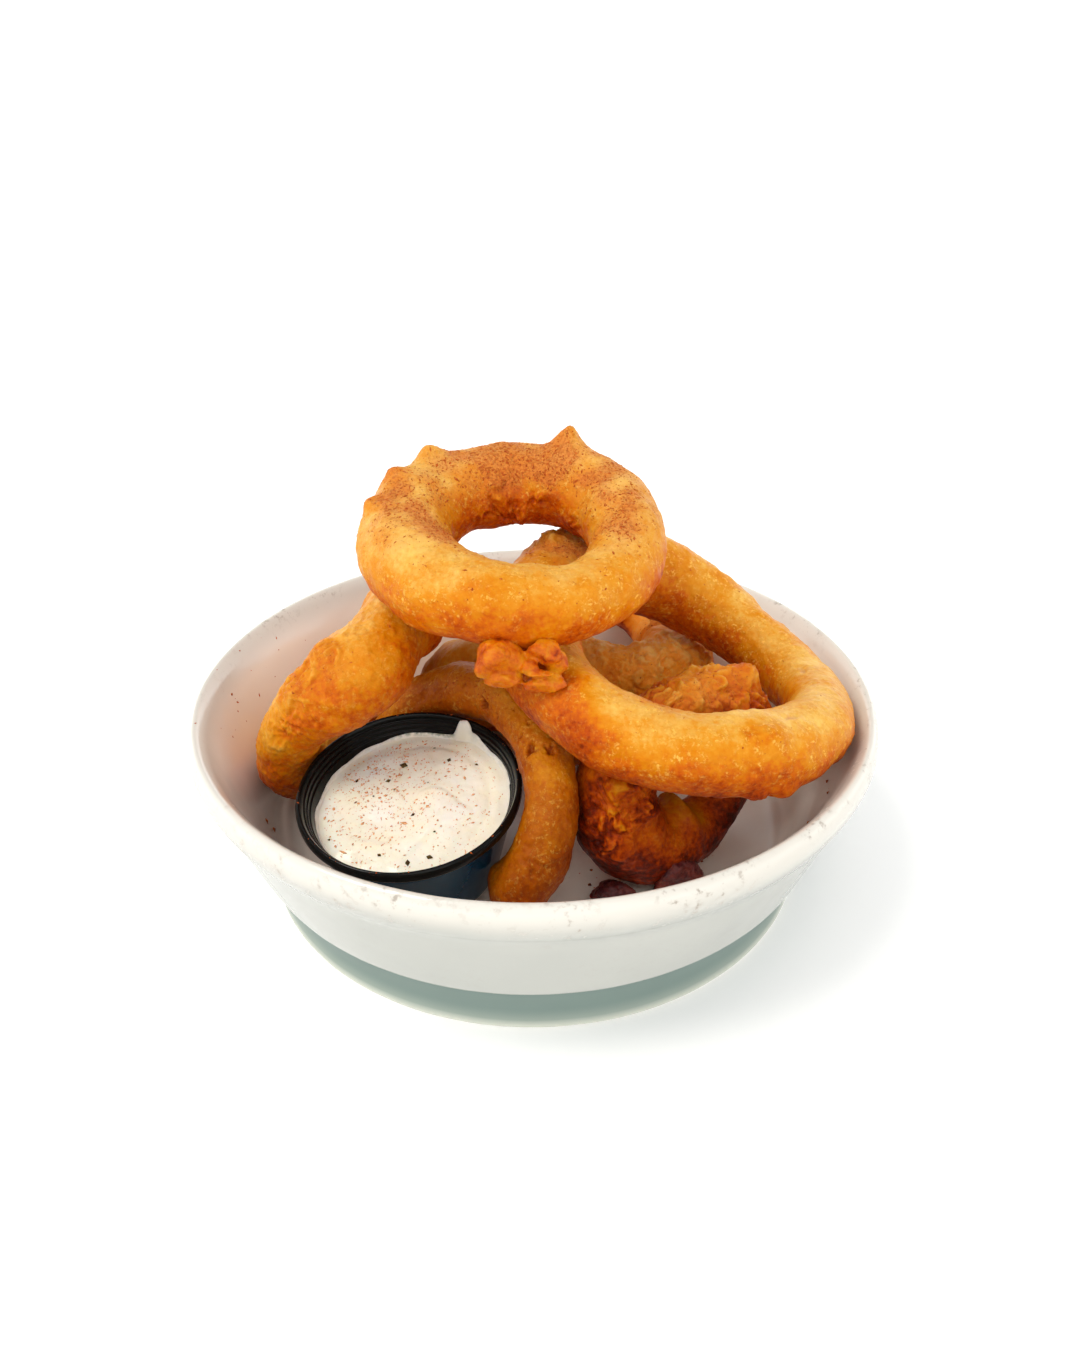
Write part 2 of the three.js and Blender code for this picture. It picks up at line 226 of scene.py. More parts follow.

# %% [markdown]
# ## The material of fried batter
# Beer batter fries to a thin, glassy starch crust with a film of oil. Light goes a millimetre or
# two into it, so it glows golden, and it browns first where it is thin or raised. The crust's
# colour runs along one scale, from pale gold to dark brown, by the number `toast` that
# each ring keeps for its points. It holds the crust's browning and also painted shade, deeper on
# the underside, in crevices and in pits, with paler flaky crests as a painted highlight. Pale
# dots of about 1 mm are painted glints, the sparkle of the oil film on small bubbles. Paprika dust
# lies on top by the number `dust`, and `onion` shows the pale onion where the batter has split.

# %% Fried batter
CRUST_COLOURS = [(0.0, "#E6B85C"), (1.0, "#420E04"), (0.15, "#DAA040"), (0.3, "#D48A1A"),
                 (0.45, "#CE7A00"), (0.6, "#C66000"), (0.75, "#AE4200"), (0.88, "#782002")]
# painted shade: a darker, duller copy of the crust's colours for the ring by the cup, which lies in shade
SHADED_CRUST_COLOURS = [(0.0, "#D8A850"), (1.0, "#421204"), (0.2, "#C47A0A"), (0.4, "#B46000"),
                   (0.6, "#A04A00"), (0.8, "#7E2E00")]
# painted light: a brighter copy of the crust's colours that lifts the middle ring out of the shade it lies
# in
LIT_CRUST_COLOURS = [(0.0, "#F4B860"), (1.0, "#5A1404"), (0.2, "#F0A040"), (0.4, "#EE8E1E"),
                 (0.6, "#DE7008"), (0.8, "#A83C00")]
TONE_SHIFT = 0.16  # how far clouds and mottling move the crust along its scale


def fried_batter(name, colours=CRUST_COLOURS, sheen=0.11):
    """Crisp batter, with its colours along the scale of toast, which holds browning and painted shade, and
    how much it shines.
    """
    material, tree, shader, place = start_material(
        name, Subsurface_Weight=0.15, Subsurface_Radius=(1.0, 0.36, 0.08), Subsurface_Scale=0.002,
        Roughness=0.38, IOR=1.46, Specular_IOR_Level=sheen)
    toast, dust, onion, share = [add(tree, "Attribute", "Fac", attribute_name=number)
                                 for number in ("toast", "dust", "onion", "flecks")]
    # the crust's tone: clouds 7 mm wide and mottling of 1.5 mm shift it along the scale of browning and
    # painted shade
    clouds = add(tree, "TexNoise", Vector=place, Scale=1 / (7 * MM), Detail=3.0)
    mottling = add(tree, "TexNoise", Vector=place, Scale=1 / (1.5 * MM), Detail=3.0, Roughness=0.6)
    uneven = add(tree, "Math", operation="ADD", i0=clouds, i1=mottling)
    shift = add(tree, "MapRange", Value=uneven, From_Min=0.7, From_Max=1.3, To_Min=-TONE_SHIFT,
                To_Max=TONE_SHIFT)
    browning_and_painted_light = add(tree, "Math", operation="ADD", i0=toast, i1=shift)
    crust = add(tree, "ValToRGB", Fac=browning_and_painted_light, stops=colours)
    # painted glints: pale dots of about 1 mm, in patches 6 mm wide, stand in for the sparkle of the oil
    # film on small bubbles
    flecks = add(tree, "TexNoise", Vector=place, Scale=1 / (1.2 * MM), Detail=5.0, Roughness=0.75)
    dots = add(tree, "MapRange", Value=flecks, From_Min=0.53, From_Max=0.65)
    areas = add(tree, "TexNoise", Vector=place, Scale=1 / (6 * MM), Detail=2.0)
    glint_patches = add(tree, "MapRange", Value=areas, From_Min=0.36, From_Max=0.54)
    pale = add(tree, "Math", operation="MULTIPLY", i0=dots, i1=glint_patches)
    fading = add(tree, "MapRange", Value=browning_and_painted_light, From_Min=0.45, From_Max=0.75, To_Min=1.0, To_Max=0.15)
    lasting = add(tree, "Math", operation="MULTIPLY", i0=share, i1=fading)
    glint_amount = add(tree, "Math", operation="MULTIPLY", i0=pale, i1=lasting)
    # onion where the batter has opened, with the faint pink of its skin
    fibres = add(tree, "TexNoise", Vector=place, Scale=1 / (2.5 * MM), Detail=2.0)
    flesh = add(tree, "ValToRGB", Fac=fibres,
                stops=[(0.3, "#D8B46E"), (0.75, "#B07C60"), (0.55, "#DAB088")])
    # paprika: a soft veil, and a speckle of about 0.4 mm drawn at 0.9 mm so that it shows
    veil = add(tree, "Math", operation="MULTIPLY", i0=dust, i1=0.75)
    grit = add(tree, "TexNoise", Vector=place, Scale=1 / (0.9 * MM), Detail=3.0, Roughness=0.7)
    laid = add(tree, "Math", operation="MULTIPLY_ADD", i0=dust, i1=0.2, i2=grit)
    speckle = add(tree, "MapRange", Value=laid, From_Min=0.66, From_Max=0.76, To_Max=0.42)
    powder = add(tree, "ValToRGB", Fac=fibres, stops=[(0.35, "#8C3A10"), (0.7, "#B4541C")])
    # each layer over the last: painted glints, bare onion, the veil of paprika and its speckle
    tone = crust
    for amount, colour in ((glint_amount, "#FAC65C"), (onion, flesh), (veil, "#CA7232"), (speckle, powder)):
        tone = add(tree, "Mix", 2, data_type="RGBA", i0=amount, i6=tone, i7=colour)
    tree.links.new(tone, shader.inputs["Base Color"])
    # the oil film is glossier where it has gathered, and dust dulls it
    film = add(tree, "TexNoise", Vector=place, Scale=1 / (3.2 * MM), Detail=3.0)
    gloss = add(tree, "MapRange", Value=film, From_Min=0.35, From_Max=0.65, To_Min=0.3, To_Max=0.5)
    dull = add(tree, "Math", operation="MULTIPLY_ADD", i0=dust, i1=0.25, i2=gloss)
    tree.links.new(dull, shader.inputs["Roughness"])
    # three sizes of relief finer than the mesh: blisters, bubbles and the crust's own tooth
    blisters = add(tree, "TexNoise", Vector=place, Scale=1 / (1.3 * MM), Detail=4.0, Roughness=0.62)
    rolling = add(tree, "Bump", Strength=0.55, Distance=0.5 * MM, Height=blisters)
    domed = add(tree, "Bump", Strength=0.5, Distance=0.25 * MM, Height=pale, Normal=rolling)
    tooth = add(tree, "TexNoise", Vector=place, Scale=1 / (0.45 * MM), Detail=3.0, Roughness=0.6)
    toothed = add(tree, "Bump", Strength=0.45, Distance=0.2 * MM, Height=tooth, Normal=domed)
    tree.links.new(toothed, shader.inputs["Normal"])
    return material


golden_batter = fried_batter("golden_batter")
# a copy of the batter with painted shade, for the ring by the cup
shaded_batter = fried_batter("batter_with_painted_shade", SHADED_CRUST_COLOURS)
# a copy of the batter with painted light, for the middle ring
lit_batter = fried_batter("batter_with_painted_light", LIT_CRUST_COLOURS)
print("crust colours:", [colour for _, colour in sorted(CRUST_COLOURS)])

# %% [markdown]
# ## The rings
# Each ring is a slice of onion in a coat of batter: a fat tube on an oval that leans against its
# neighbours. The frame's rings are the same tubes with few faces. Here each gets a fine grid, the
# same lumps and crags, and then what frying adds: swellings, bubbles, rough craggy patches,
# pits and splits. A voxel sculpt could do this too, but the grid keeps each ring's own directions,
# so a split can run along it and its underside can carry painted shade, a deeper gold.
#
# Places on a ring are given as degrees round it and degrees round its tube: 0 points outward, 90
# along the ring's axis, 180 into its hole. Below, `rough`, `dusty`, `browning_and_painted_light` and
# `tips` are soft spots (round the ring, round the tube, reach in mm, strength). `crags` give their
# height before their reach, `pits` and `bare` have no strength, and `splits` have a length and a width.

# %% The rings' sizes and places (mm and degrees, as in the part)
# browning_and_painted_light spots brown the crust on crag tips, and also paint light: painted shade on the
# hidden or shaded side of a ring, and paler painted highlights on bright crests and fronts
RINGS = {
    "ring_top": dict(
        centre=(-3.9, -1.7, 100.8), lean=13.5, toward=-84.7, spin=83.1, long=30.7, wide=28.9,
        thick=11.5, swell=(0.096, 151), pinch=(0.046, 31), bend=(0.7, 54),
        crags=[(67, 72, 5.5, 4), (136, 70, 3.6, 4.5), (158, 62, 2, 4), (177, 44, 1.5, 3.5),
               (107, 170, 1.6, 4.5), (88, 188, 1.8, 4)],
        rough=[(107, 165, 8, 0.9), (93, 198, 6, 1.0), (127, 182, 4, 0.7), (40, 190, 5, 0.5),
               (67, 74, 5, 0.5), (136, 76, 5, 0.3), (213, 150, 5, 0.5), (75, 175, 5, 0.5),
               (20, 165, 7, 0.4)],
        dusty=[(188, 92, 12, 0.9), (213, 140, 10, 1.0), (5, 88, 9, 0.8), (343, 112, 8, 0.6),
               (250, 135, 6, 0.5), (120, 95, 12, 0.8), (60, 90, 14, 0.9), (90, 90, 13, 0.9),
               (107, 150, 10, 0.7), (150, 100, 10, 0.5), (75, 140, 10, 0.7), (30, 100, 10, 0.6),
               (170, 60, 8, 0.4)],
        browning_and_painted_light=[(100, 172, 13, 0.12), (60, 178, 11, 0.1), (140, 178, 9, 0.06), (196, 8, 14, -0.12),
                 (268, 55, 14, 0.06), (275, 5, 16, 0.08), (345, 340, 12, 0.08), (67, 72, 4, 0.22),
                 (136, 70, 4, 0.22), (158, 62, 4, 0.22), (177, 44, 4, 0.18)],
        tips=[(66, 72, 1.8, 1.2), (137, 70, 2.2, 0.8), (159, 62, 2.0, 0.7), (177, 46, 2.2, 0.8)],
        toast=0.49, dust=0.14, craggy=1.5),
    "ring_left": dict(
        centre=(-55.3, 1.9, 52.8), lean=57.7, toward=159.7, spin=-174, long=29.4, wide=27.1,
        thick=10.75, swell=(0.19, 95), pinch=(0.098, 15), bend=(2.4, 86),
        crags=[(307, 62, 1.6, 4), (292, 42, 1.3, 6), (278, 38, 1.1, 6),
               (308, 288, 5.5, 11), (326, 288, 3, 9), (288, 290, 4, 8)],
        rough=[(311, 36, 4, 0.7), (301, 28, 5, 0.7), (290, 26, 5, 0.7), (296, 345, 7, 0.4),
               (284, 352, 6, 0.5), (270, 8, 6, 0.4), (258, 345, 6, 0.3), (305, 325, 6, 0.3)],
        dusty=[(309, 34, 7, 0.3), (290, 26, 7, 0.15), (264, 340, 5, 0.15)],
        browning_and_painted_light=[(305, 36, 7, 0.06), (290, 30, 7, 0.02), (330, 352, 10, 0.04),
                 (262, 320, 12, -0.16)],
        toast=0.54, dust=0.05, grain=0.2, flecks=0.4, craggy=1.0),
    "ring_front": dict(
        centre=(41.9, -6.4, 65.5), lean=17.5, toward=-13.2, spin=12.7, long=42.5, wide=44.7,
        thick=11.4, swell=(0.172, 142), pinch=(0.09, -57), bend=(3.8, -53),
        crags=[(148, 56, 2.4, 4), (291, 60, 1.2, 3.5), (289, 322, 1.4, 3), (297, 330, 2, 2.6)],
        rough=[(148, 62, 10, 1.0), (292, 324, 4, 0.6), (285, 68, 4, 0.7), (296, 40, 8, 0.3),
               (228, 40, 9, 0.2)],
        dusty=[(148, 75, 13, 1.0), (244, 128, 5, 0.5), (262, 128, 5, 0.4), (255, 128, 6, 0.5)],
        browning_and_painted_light=[(231, 34, 10, 0.3), (212, 34, 13, 0.36), (190, 30, 14, 0.3), (237, 72, 7, -0.24),
                 (300, 60, 15, -0.06), (338, 70, 17, -0.1), (10, 100, 15, -0.06),
                 (57, 100, 15, -0.06), (262, 80, 16, -0.06), (40, 160, 13, 0.1),
                 (70, 165, 14, 0.08), (285, 66, 4, 0.2)],
        splits=[(2, 126, 7, 0.9), (302, 90, 5, 0.8)],
        toast=0.62, dust=0.04, grain=0.08),
    "ring_by_cup": dict(
        centre=(-22, -24, 29.2), lean=52.8, toward=-141.2, spin=-5, long=32.2, wide=36.1, thick=8.8,
        swell=(0.05, -9), pinch=(0.03, 75), bend=(0.5, 120), span=(66, 317),
        crags=[(186, 60, 0.9, 5), (106, 170, -2.9, 10), (128, 172, -1.6, 8), (130, 305, -1.6, 8)],
        rough=[(175, 100, 9, 0.35), (97, 50, 5, 0.5), (230, 92, 9, 0.3), (150, 85, 6, 0.3)],
        dusty=[(195, 92, 12, 0.3)],
        browning_and_painted_light=[(120, 55, 11, 0.04), (98, 60, 10, 0.08), (170, 110, 14, -0.12),
                 (200, 90, 12, -0.12)],
        pits=[(188, 117, 2.3), (146, 83, 1.9), (143, 44, 1.5), (155, 96, 0.9), (177, 123, 0.8),
              (203, 92, 0.7), (158, 68, 0.7), (170, 80, 0.55), (215, 98, 0.7), (196, 86, 0.6)],
        toast=0.68, dust=0.0, flecks=0.5, material=shaded_batter),
    "ring_low": dict(
        centre=(41.2, -26.8, 38.2), lean=81.9, toward=-60.3, spin=116.6, long=22, wide=19.1,
        thick=10.6, swell=(0.141, 98), pinch=(0.159, 7), bend=(1, 47),
        crags=[(28, 12, 4.6, 4), (131, 62, 1.8, 4.5), (150, 118, 2.4, 4.5), (172, 60, 2, 5),
               (59, 40, 1.4, 6), (240, 175, 7.5, 8), (145, 345, -1.4, 7)],
        rough=[(28, 14, 6, 1.0), (50, 10, 9, 1.0), (73, 6, 8, 0.9), (26, 48, 6, 0.7),
               (65, 40, 9, 0.9), (131, 58, 8, 0.9), (143, 92, 7, 0.9), (163, 42, 6, 0.8),
               (100, 40, 8, 0.6)],
        dusty=[(60, 25, 12, 0.5)],
        browning_and_painted_light=[(58, 30, 13, -0.12), (140, 66, 6, -0.12), (288, 120, 16, 0.22), (120, 10, 10, 0.16),
                 (215, 60, 12, 0.1)],
        toast=0.84, dust=0.04, craggy=1.25, flecks=0.22, brownest=0.95),
    "ring_middle": dict(
        centre=(27.7, 49.2, 42.6), lean=15.9, toward=-18.1, spin=59.9, long=22.9, wide=23.8,
        thick=10.5, swell=(0.148, -146), pinch=(0.203, -59), bend=(1.9, 66),
        crags=[(344, 108, 4.6, 7), (262, 100, 1.2, 5), (294, 142, 3.6, 7), (352, 168, 3, 6),
               (330, 84, 2.4, 9)],
        rough=[(262, 108, 8, 0.9), (216, 88, 9, 0.8), (282, 70, 9, 0.8), (240, 62, 11, 0.9),
               (300, 80, 8, 0.6), (344, 108, 9, 0.7)],
        dusty=[(230, 80, 12, 0.1), (344, 108, 10, 0.6)],
        browning_and_painted_light=[(262, 92, 7, -0.1), (240, 52, 8, -0.05)],
        bare=[(303, 112, 5.5), (318, 102, 4.5)],
        toast=0.55, dust=0.02, craggy=1.3, flecks=0.6, material=lit_batter),
    "ring_back": dict(
        centre=(-5.9, 29.2, 31.4), lean=42.8, toward=58.6, spin=-89.7, long=21.4, wide=21.4,
        thick=10.9, swell=(0.032, 129), pinch=(0.034, -26), bend=(5.1, -87),
        crags=[], rough=[(100, 60, 9, 0.5), (253, 348, 6, 0.3)], dusty=[], browning_and_painted_light=[],
        toast=0.5, dust=0.08, flecks=0.2),
}
LUMPS = [(3, 1, 40, 0.35), (7, -2, 100, 0.25), (11, 1, 200, 0.2)]  # times round ring and tube, at, height
GRID_CELLS = 92000  # for each ring, which puts its points about 0.4 mm apart
SWELLING_ALLOWANCE = 1.1  # the tube's way round is counted longer by this, as its swellings need
BREAK_ROUNDING = 1.1  # a broken end is rounded over this many tube radii
USUAL = dict(grain=0.05, craggy=1.0, flecks=0.9, brownest=0.72, material=golden_batter)
RINGS = {name: {**USUAL, **ring} for name, ring in RINGS.items()}
print(len(RINGS), "rings")


# %% A smooth ring as a tube round an oval
def turned_about(axis, degrees):
    """A 3 x 3 rotation about Y or Z, counterclockwise seen from that axis's tip."""
    return np.array(Matrix.Rotation(math.radians(degrees), 3, axis))


def wave(pair, angle, times):
    """amount * cos(times * (angle - at)), the pair being (amount, at in degrees)."""
    return pair[0] * np.cos(times * (angle - math.radians(pair[1])))


def middle_line(ring, angle):
    """Centre + long cos(angle) u + wide sin(angle) v + bend n, with u and v in the ring's plane and n
    across it."""
    turn = turned_about("Z", ring["toward"]) @ turned_about("Y", ring["lean"])
    turn = turn @ turned_about("Z", ring["spin"])
    flat = np.stack([ring["long"] * np.cos(angle), ring["wide"] * np.sin(angle),
                     wave(ring["bend"], angle, 2)], -1)
    return np.array(ring["centre"]) + flat @ turn.T


def smooth_tube(ring):
    """The ring's angles round it (rows) and round its tube (columns), its middle line, the outward
    direction at each grid point, the tube's radius, and how much of it is left near a broken end."""
    low, high = np.radians(ring.get("span", (0, 360)))
    around = (ring["long"] + ring["wide"]) / 2 * (high - low)
    tube_length = 2 * math.pi * ring["thick"] * SWELLING_ALLOWANCE
    step = math.sqrt(around * tube_length / GRID_CELLS)
    rows, columns = int(around / step), int(tube_length / step)
    angle = np.linspace(low, high, rows, endpoint="span" in ring)
    left = np.ones(rows)
    if "span" in ring:
        reach = 2 * BREAK_ROUNDING * ring["thick"] / (ring["long"] + ring["wide"])
        inward = np.clip(np.minimum(angle - low, high - angle) / reach, 0.0, 1.0)
        left = np.sqrt(1 - (1 - inward) ** 2)
    line = middle_line(ring, angle)
    along = middle_line(ring, angle + 1e-4) - middle_line(ring, angle - 1e-4)
    along /= np.linalg.norm(along, axis=-1, keepdims=True)
    from_centre = line - np.array(ring["centre"])
    outward = from_centre - along * (from_centre * along).sum(-1, keepdims=True)
    outward /= np.linalg.norm(outward, axis=-1, keepdims=True)
    across = np.cross(outward, along)
    tube = np.linspace(0, 2 * math.pi, columns, endpoint=False)
    cosine, sine = np.cos(tube)[None, :, None], np.sin(tube)[None, :, None]
    normal = outward[:, None] * cosine + across[:, None] * sine
    radius = ring["thick"] * (1 + wave(ring["swell"], angle, 1) + wave(ring["pinch"], angle, 2))
    return angle[:, None], tube[None, :], line[:, None], normal, radius[:, None], left[:, None]


def distances(ring, angle, tube, radius, at, round_tube):
    """Signed distances in mm from a place (at, round_tube, in degrees), along the ring and round it."""
    def apart(value, place):
        return (value - math.radians(place) + math.pi) % (2 * math.pi) - math.pi
    return apart(angle, at) * (ring["long"] + ring["wide"]) / 2, apart(tube, round_tube) * radius


def spots(ring, angle, tube, radius, places):
    """The sum of soft round spots: strength * exp(-(distance / reach)^2) for each place."""
    total = np.zeros(np.broadcast_shapes(angle.shape, tube.shape))
    for at, round_tube, reach, strength in places:
        along, across = distances(ring, angle, tube, radius, at, round_tube)
        total += strength * np.exp(-(along ** 2 + across ** 2) / reach ** 2)
    return total


test = smooth_tube(RINGS["ring_top"])
print("ring_top's grid:", test[3].shape[:2], "radius %.1f to %.1f mm" % (test[4].min(), test[4].max()))


# %% What frying adds
def fried_relief(ring, angle, tube, radius, points, seed):
    """Height in mm above the smooth tube, how rough the crust is there, and its flakes. The height is
    the sum of long lumps, crags, swellings of 11, 5 and 2.4 mm, bubbles of 1 and 2 mm, a grain of
    1.3 mm and, in rough patches, knobs 6 and 3 mm wide with ridges between, all bent by noise."""
    start = math.radians(ring["spin"])
    height = sum(lift * np.cos(times * (angle + start) + turns * tube - math.radians(at))
                 for times, turns, at, lift in LUMPS)
    height = height + spots(ring, angle, tube, radius, [(a, t, s, h) for a, t, h, s in ring["crags"]])
    rough = spots(ring, angle, tube, radius, ring["rough"]) * (1 + 0.6 * noise(points, 4, seed + 9))
    rough = smooth_step(0.05, 1.0, rough)
    height += 0.36 * noise(points, 11, seed) + 0.26 * noise(points, 5, seed + 1)
    height += 0.13 * noise(points, 2.4, seed + 2) + ring["grain"] * noise(points, 1.3, seed + 10)
    height += 0.17 * bubbles(points, 3.4, 1.3, 0.45, seed + 3)
    height += 0.1 * bubbles(points, 1.7, 0.7, 0.5, seed + 7)
    height += spots(ring, angle, tube, radius, ring.get("tips", []))
    bent = points + 2.4 * np.stack([noise(points, 6, seed + k) for k in (5, 11, 12)], -1)
    knobs = bubbles(bent, 4.6, 2.9, 0.85, seed + 13) + 0.6 * bubbles(bent, 2.3, 1.4, 0.75, seed + 17)
    flake = 0.6 * knobs + 0.5 * ridges(bent, 2.8, seed + 6) - 0.4
    crags = 0.9 * knobs + 0.35 * ridges(bent, 2.8, seed + 6) + 0.2 * ridges(bent, 1.3, seed + 8) - 0.5
    height += ring["craggy"] * rough * crags
    return height, rough, flake


def openings_in_batter(ring, angle, tube, radius, points):
    """Depth in mm of pits and splits, and how bare the onion is in splits and where batter came off."""
    depth = np.zeros(points.shape[:-1])
    onion = np.zeros_like(depth)
    for at, round_tube, reach in ring.get("pits", []):
        along, across = distances(ring, angle, tube, radius, at, round_tube)
        away = np.hypot(along, across) * (1 + 0.5 * noise(points, 1.4, 51))
        depth += 1.1 * reach * np.exp(-(away / (0.75 * reach)) ** 3)
    for at, round_tube, length, width in ring.get("splits", []):
        along, across = distances(ring, angle, tube, radius, at, round_tube)
        bent = across - 0.05 * along ** 2 - 0.5 * noise(points, 2, 31)
        groove = np.exp(-(2 * along / length) ** 4 - (bent / width) ** 2)
        depth += 0.9 * groove
        onion += 0.45 * smooth_step(0.35, 0.75, groove)
    for at, round_tube, reach in ring.get("bare", []):
        along, across = distances(ring, angle, tube, radius, at, round_tube)
        patch = 1 - np.hypot(along, across) / reach + 0.35 * noise(points, 2.5, 41)
        onion += smooth_step(0.15, 0.35, patch)
        depth += 0.8 * smooth_step(0.1, 0.4, patch)
    return depth, np.clip(onion, 0, 1)


def facing_up(shape):
    """The upward part of each grid point's normal: the cross product of its row and column directions."""
    slope = np.cross(np.gradient(shape, axis=0), np.roll(shape, -1, 1) - np.roll(shape, 1, 1))
    return slope[..., 2] / np.maximum(np.linalg.norm(slope, axis=-1), 1e-9)


def under_a_limit(value, limit, sharpness=12):
    """The smaller of the two, with a soft bend: limit - log(1 + e^(k (limit - value))) / k."""
    return limit - np.log1p(np.exp(sharpness * (limit - value))) / sharpness


def fry(name, ring, seed):
    """Builds one ring. Its toast holds browning and painted shade: it rises as painted shade in
    the crevices of rough patches, in pits and on the underside, rises in cloudy patches, and falls as
    a painted highlight on flaky crests. Dust lies on what faces up, thicker in dusty places."""
    angle, tube, line, normal, radius, left = smooth_tube(ring)
    points = line + normal * radius[..., None]
    height, rough, flake = fried_relief(ring, angle, tube, radius, points, seed)
    depth, onion = openings_in_batter(ring, angle, tube, radius, points)
    shape = line + normal * (left * (radius + height - depth))[..., None]
    upward = facing_up(line + normal * (left * radius)[..., None])
    # painted shade: the crust is drawn a deeper gold where it faces down and paler where it faces up
    toast = ring["toast"] + spots(ring, angle, tube, radius, ring["browning_and_painted_light"]) - 0.4 * upward
    # painted shade in the crevices of rough patches, and a painted highlight on their flaky crests
    toast += rough * (0.17 - 0.36 * smooth_step(-0.1, 0.9, flake))
    toast += 0.1 * noise(points, 16, seed + 20) + 0.07 * noise(points, 6, seed + 21)
    # painted shade in pits and splits, where the onion is not bare
    toast += 0.4 * smooth_step(0.4, 1.2, depth) * (1 - onion)
    toast = under_a_limit(toast, ring["brownest"])
    dusty = ring["dust"] + spots(ring, angle, tube, radius, ring["dusty"])
    cover = dusty * (0.75 + 0.6 * noise(points, 7, seed + 22)) * smooth_step(-0.1, 0.6, upward)
    rows, columns = shape.shape[:2]
    faces = [grid_faces(rows, columns, loop_rows="span" not in ring)]
    values = {"toast": toast, "dust": np.clip(cover, 0, 1), "onion": onion,
              "flecks": np.full_like(toast, ring["flecks"])}
    if "span" in ring:
        values = {key: np.concatenate([v[1:-1].ravel(), v[[0, -1], 0]]) for key, v in values.items()}
        shape = np.concatenate([shape[1:-1].reshape(-1, 3), shape[[0, -1], 0]])
        faces = between_tips(rows - 2, columns)
    return make_piece("fried_" + name, shape, faces, ring["material"], "fried_batter", name, **values)


fried = {name: fry(name, ring, 50 * k) for k, (name, ring) in enumerate(RINGS.items())}

# %% [markdown]
# ## Turned pieces: the bowl and the cup
# A bowl is thrown or pressed as a solid of revolution, and a portion cup is moulded as one. So a
# profile of radius and height, with its corners eased as glaze or a mould leaves them, is carried
# round an axis. The corners are quadratic curves, because their ease can be given in millimetres.

# %% Profiles and turning
def eased(profile, steps=7):
    """A fine profile from (radius, height, ease) corners: each corner is replaced by the curve
    (1-f)^2 a + 2f(1-f) corner + f^2 b, where a and b lie `ease` mm before and after it."""
    corners = np.array(profile, float)
    fine = []
    for k, (radius, height, ease) in enumerate(corners):
        corner = np.array([radius, height])
        if k in (0, len(corners) - 1) or ease == 0:
            fine.append(corner[None])
            continue
        sides = [corners[k + side, :2] - corner for side in (-1, 1)]
        a, b = [corner + side * min(ease / np.linalg.norm(side), 0.48) for side in sides]
        f = np.linspace(0, 1, steps)[:, None]
        fine.append((1 - f) ** 2 * a + 2 * f * (1 - f) * corner + f ** 2 * b)
    return np.concatenate(fine)


def evenly(profile, step):
    """The same profile with extra points, so that no two are more than `step` mm apart."""
    parts = [profile[:1]]
    for a, b in zip(profile[:-1], profile[1:]):
        count = max(1, int(np.ceil(np.linalg.norm(b - a) / step)))
        parts.append(a + (b - a) * (np.arange(1, count + 1) / count)[:, None])
    return np.concatenate(parts)


def round_the_axis(radius, angle, level):
    """Points (radius cos a, radius sin a, level)."""
    return np.stack([radius * np.cos(angle), radius * np.sin(angle), level], -1)


def turned(profile, columns):
    """A loop of points for every profile point that is off the axis, and faces with a fan at both ends,
    where the profile meets the axis. The profile runs from below, up the outside and in."""
    angle = np.linspace(0, 2 * math.pi, columns, endpoint=False)
    ring = profile[1:-1]
    radius, height = ring[:, :1], ring[:, 1:]
    points = round_the_axis(radius, angle, height + 0 * angle)
    tips = np.array([[0, 0, profile[0, 1]], [0, 0, profile[-1, 1]]])
    faces = [part[:, ::-1] for part in between_tips(len(ring), columns)]
    return np.concatenate([points.reshape(-1, 3), tips]), faces


def along_profile(columns, numbers):
    """One number for each point of a turned piece, from one for each point of its profile."""
    return np.concatenate([np.repeat(numbers[1:-1], columns), [numbers[0], numbers[-1]]])


print("an eased corner has", len(eased([(0, 0, 0), (5, 0, 1), (5, 5, 0)])), "points")

# %% [markdown]
# ## The glaze on the bowl
# Restaurant stoneware has a thick, glossy, off-white zircon glaze. It pools in corners and wears at
# the rim, where trays and other bowls rub it to small grey-brown marks. The foot, tucked under the
# wall, has painted shade and a painted greenish reflection: dark greenish grey under the wall, paling
# to its lower edge. The outside is painted a shaded grey, and the inside a warmer, brighter white
# that stands in for the warm light the rings throw into it.

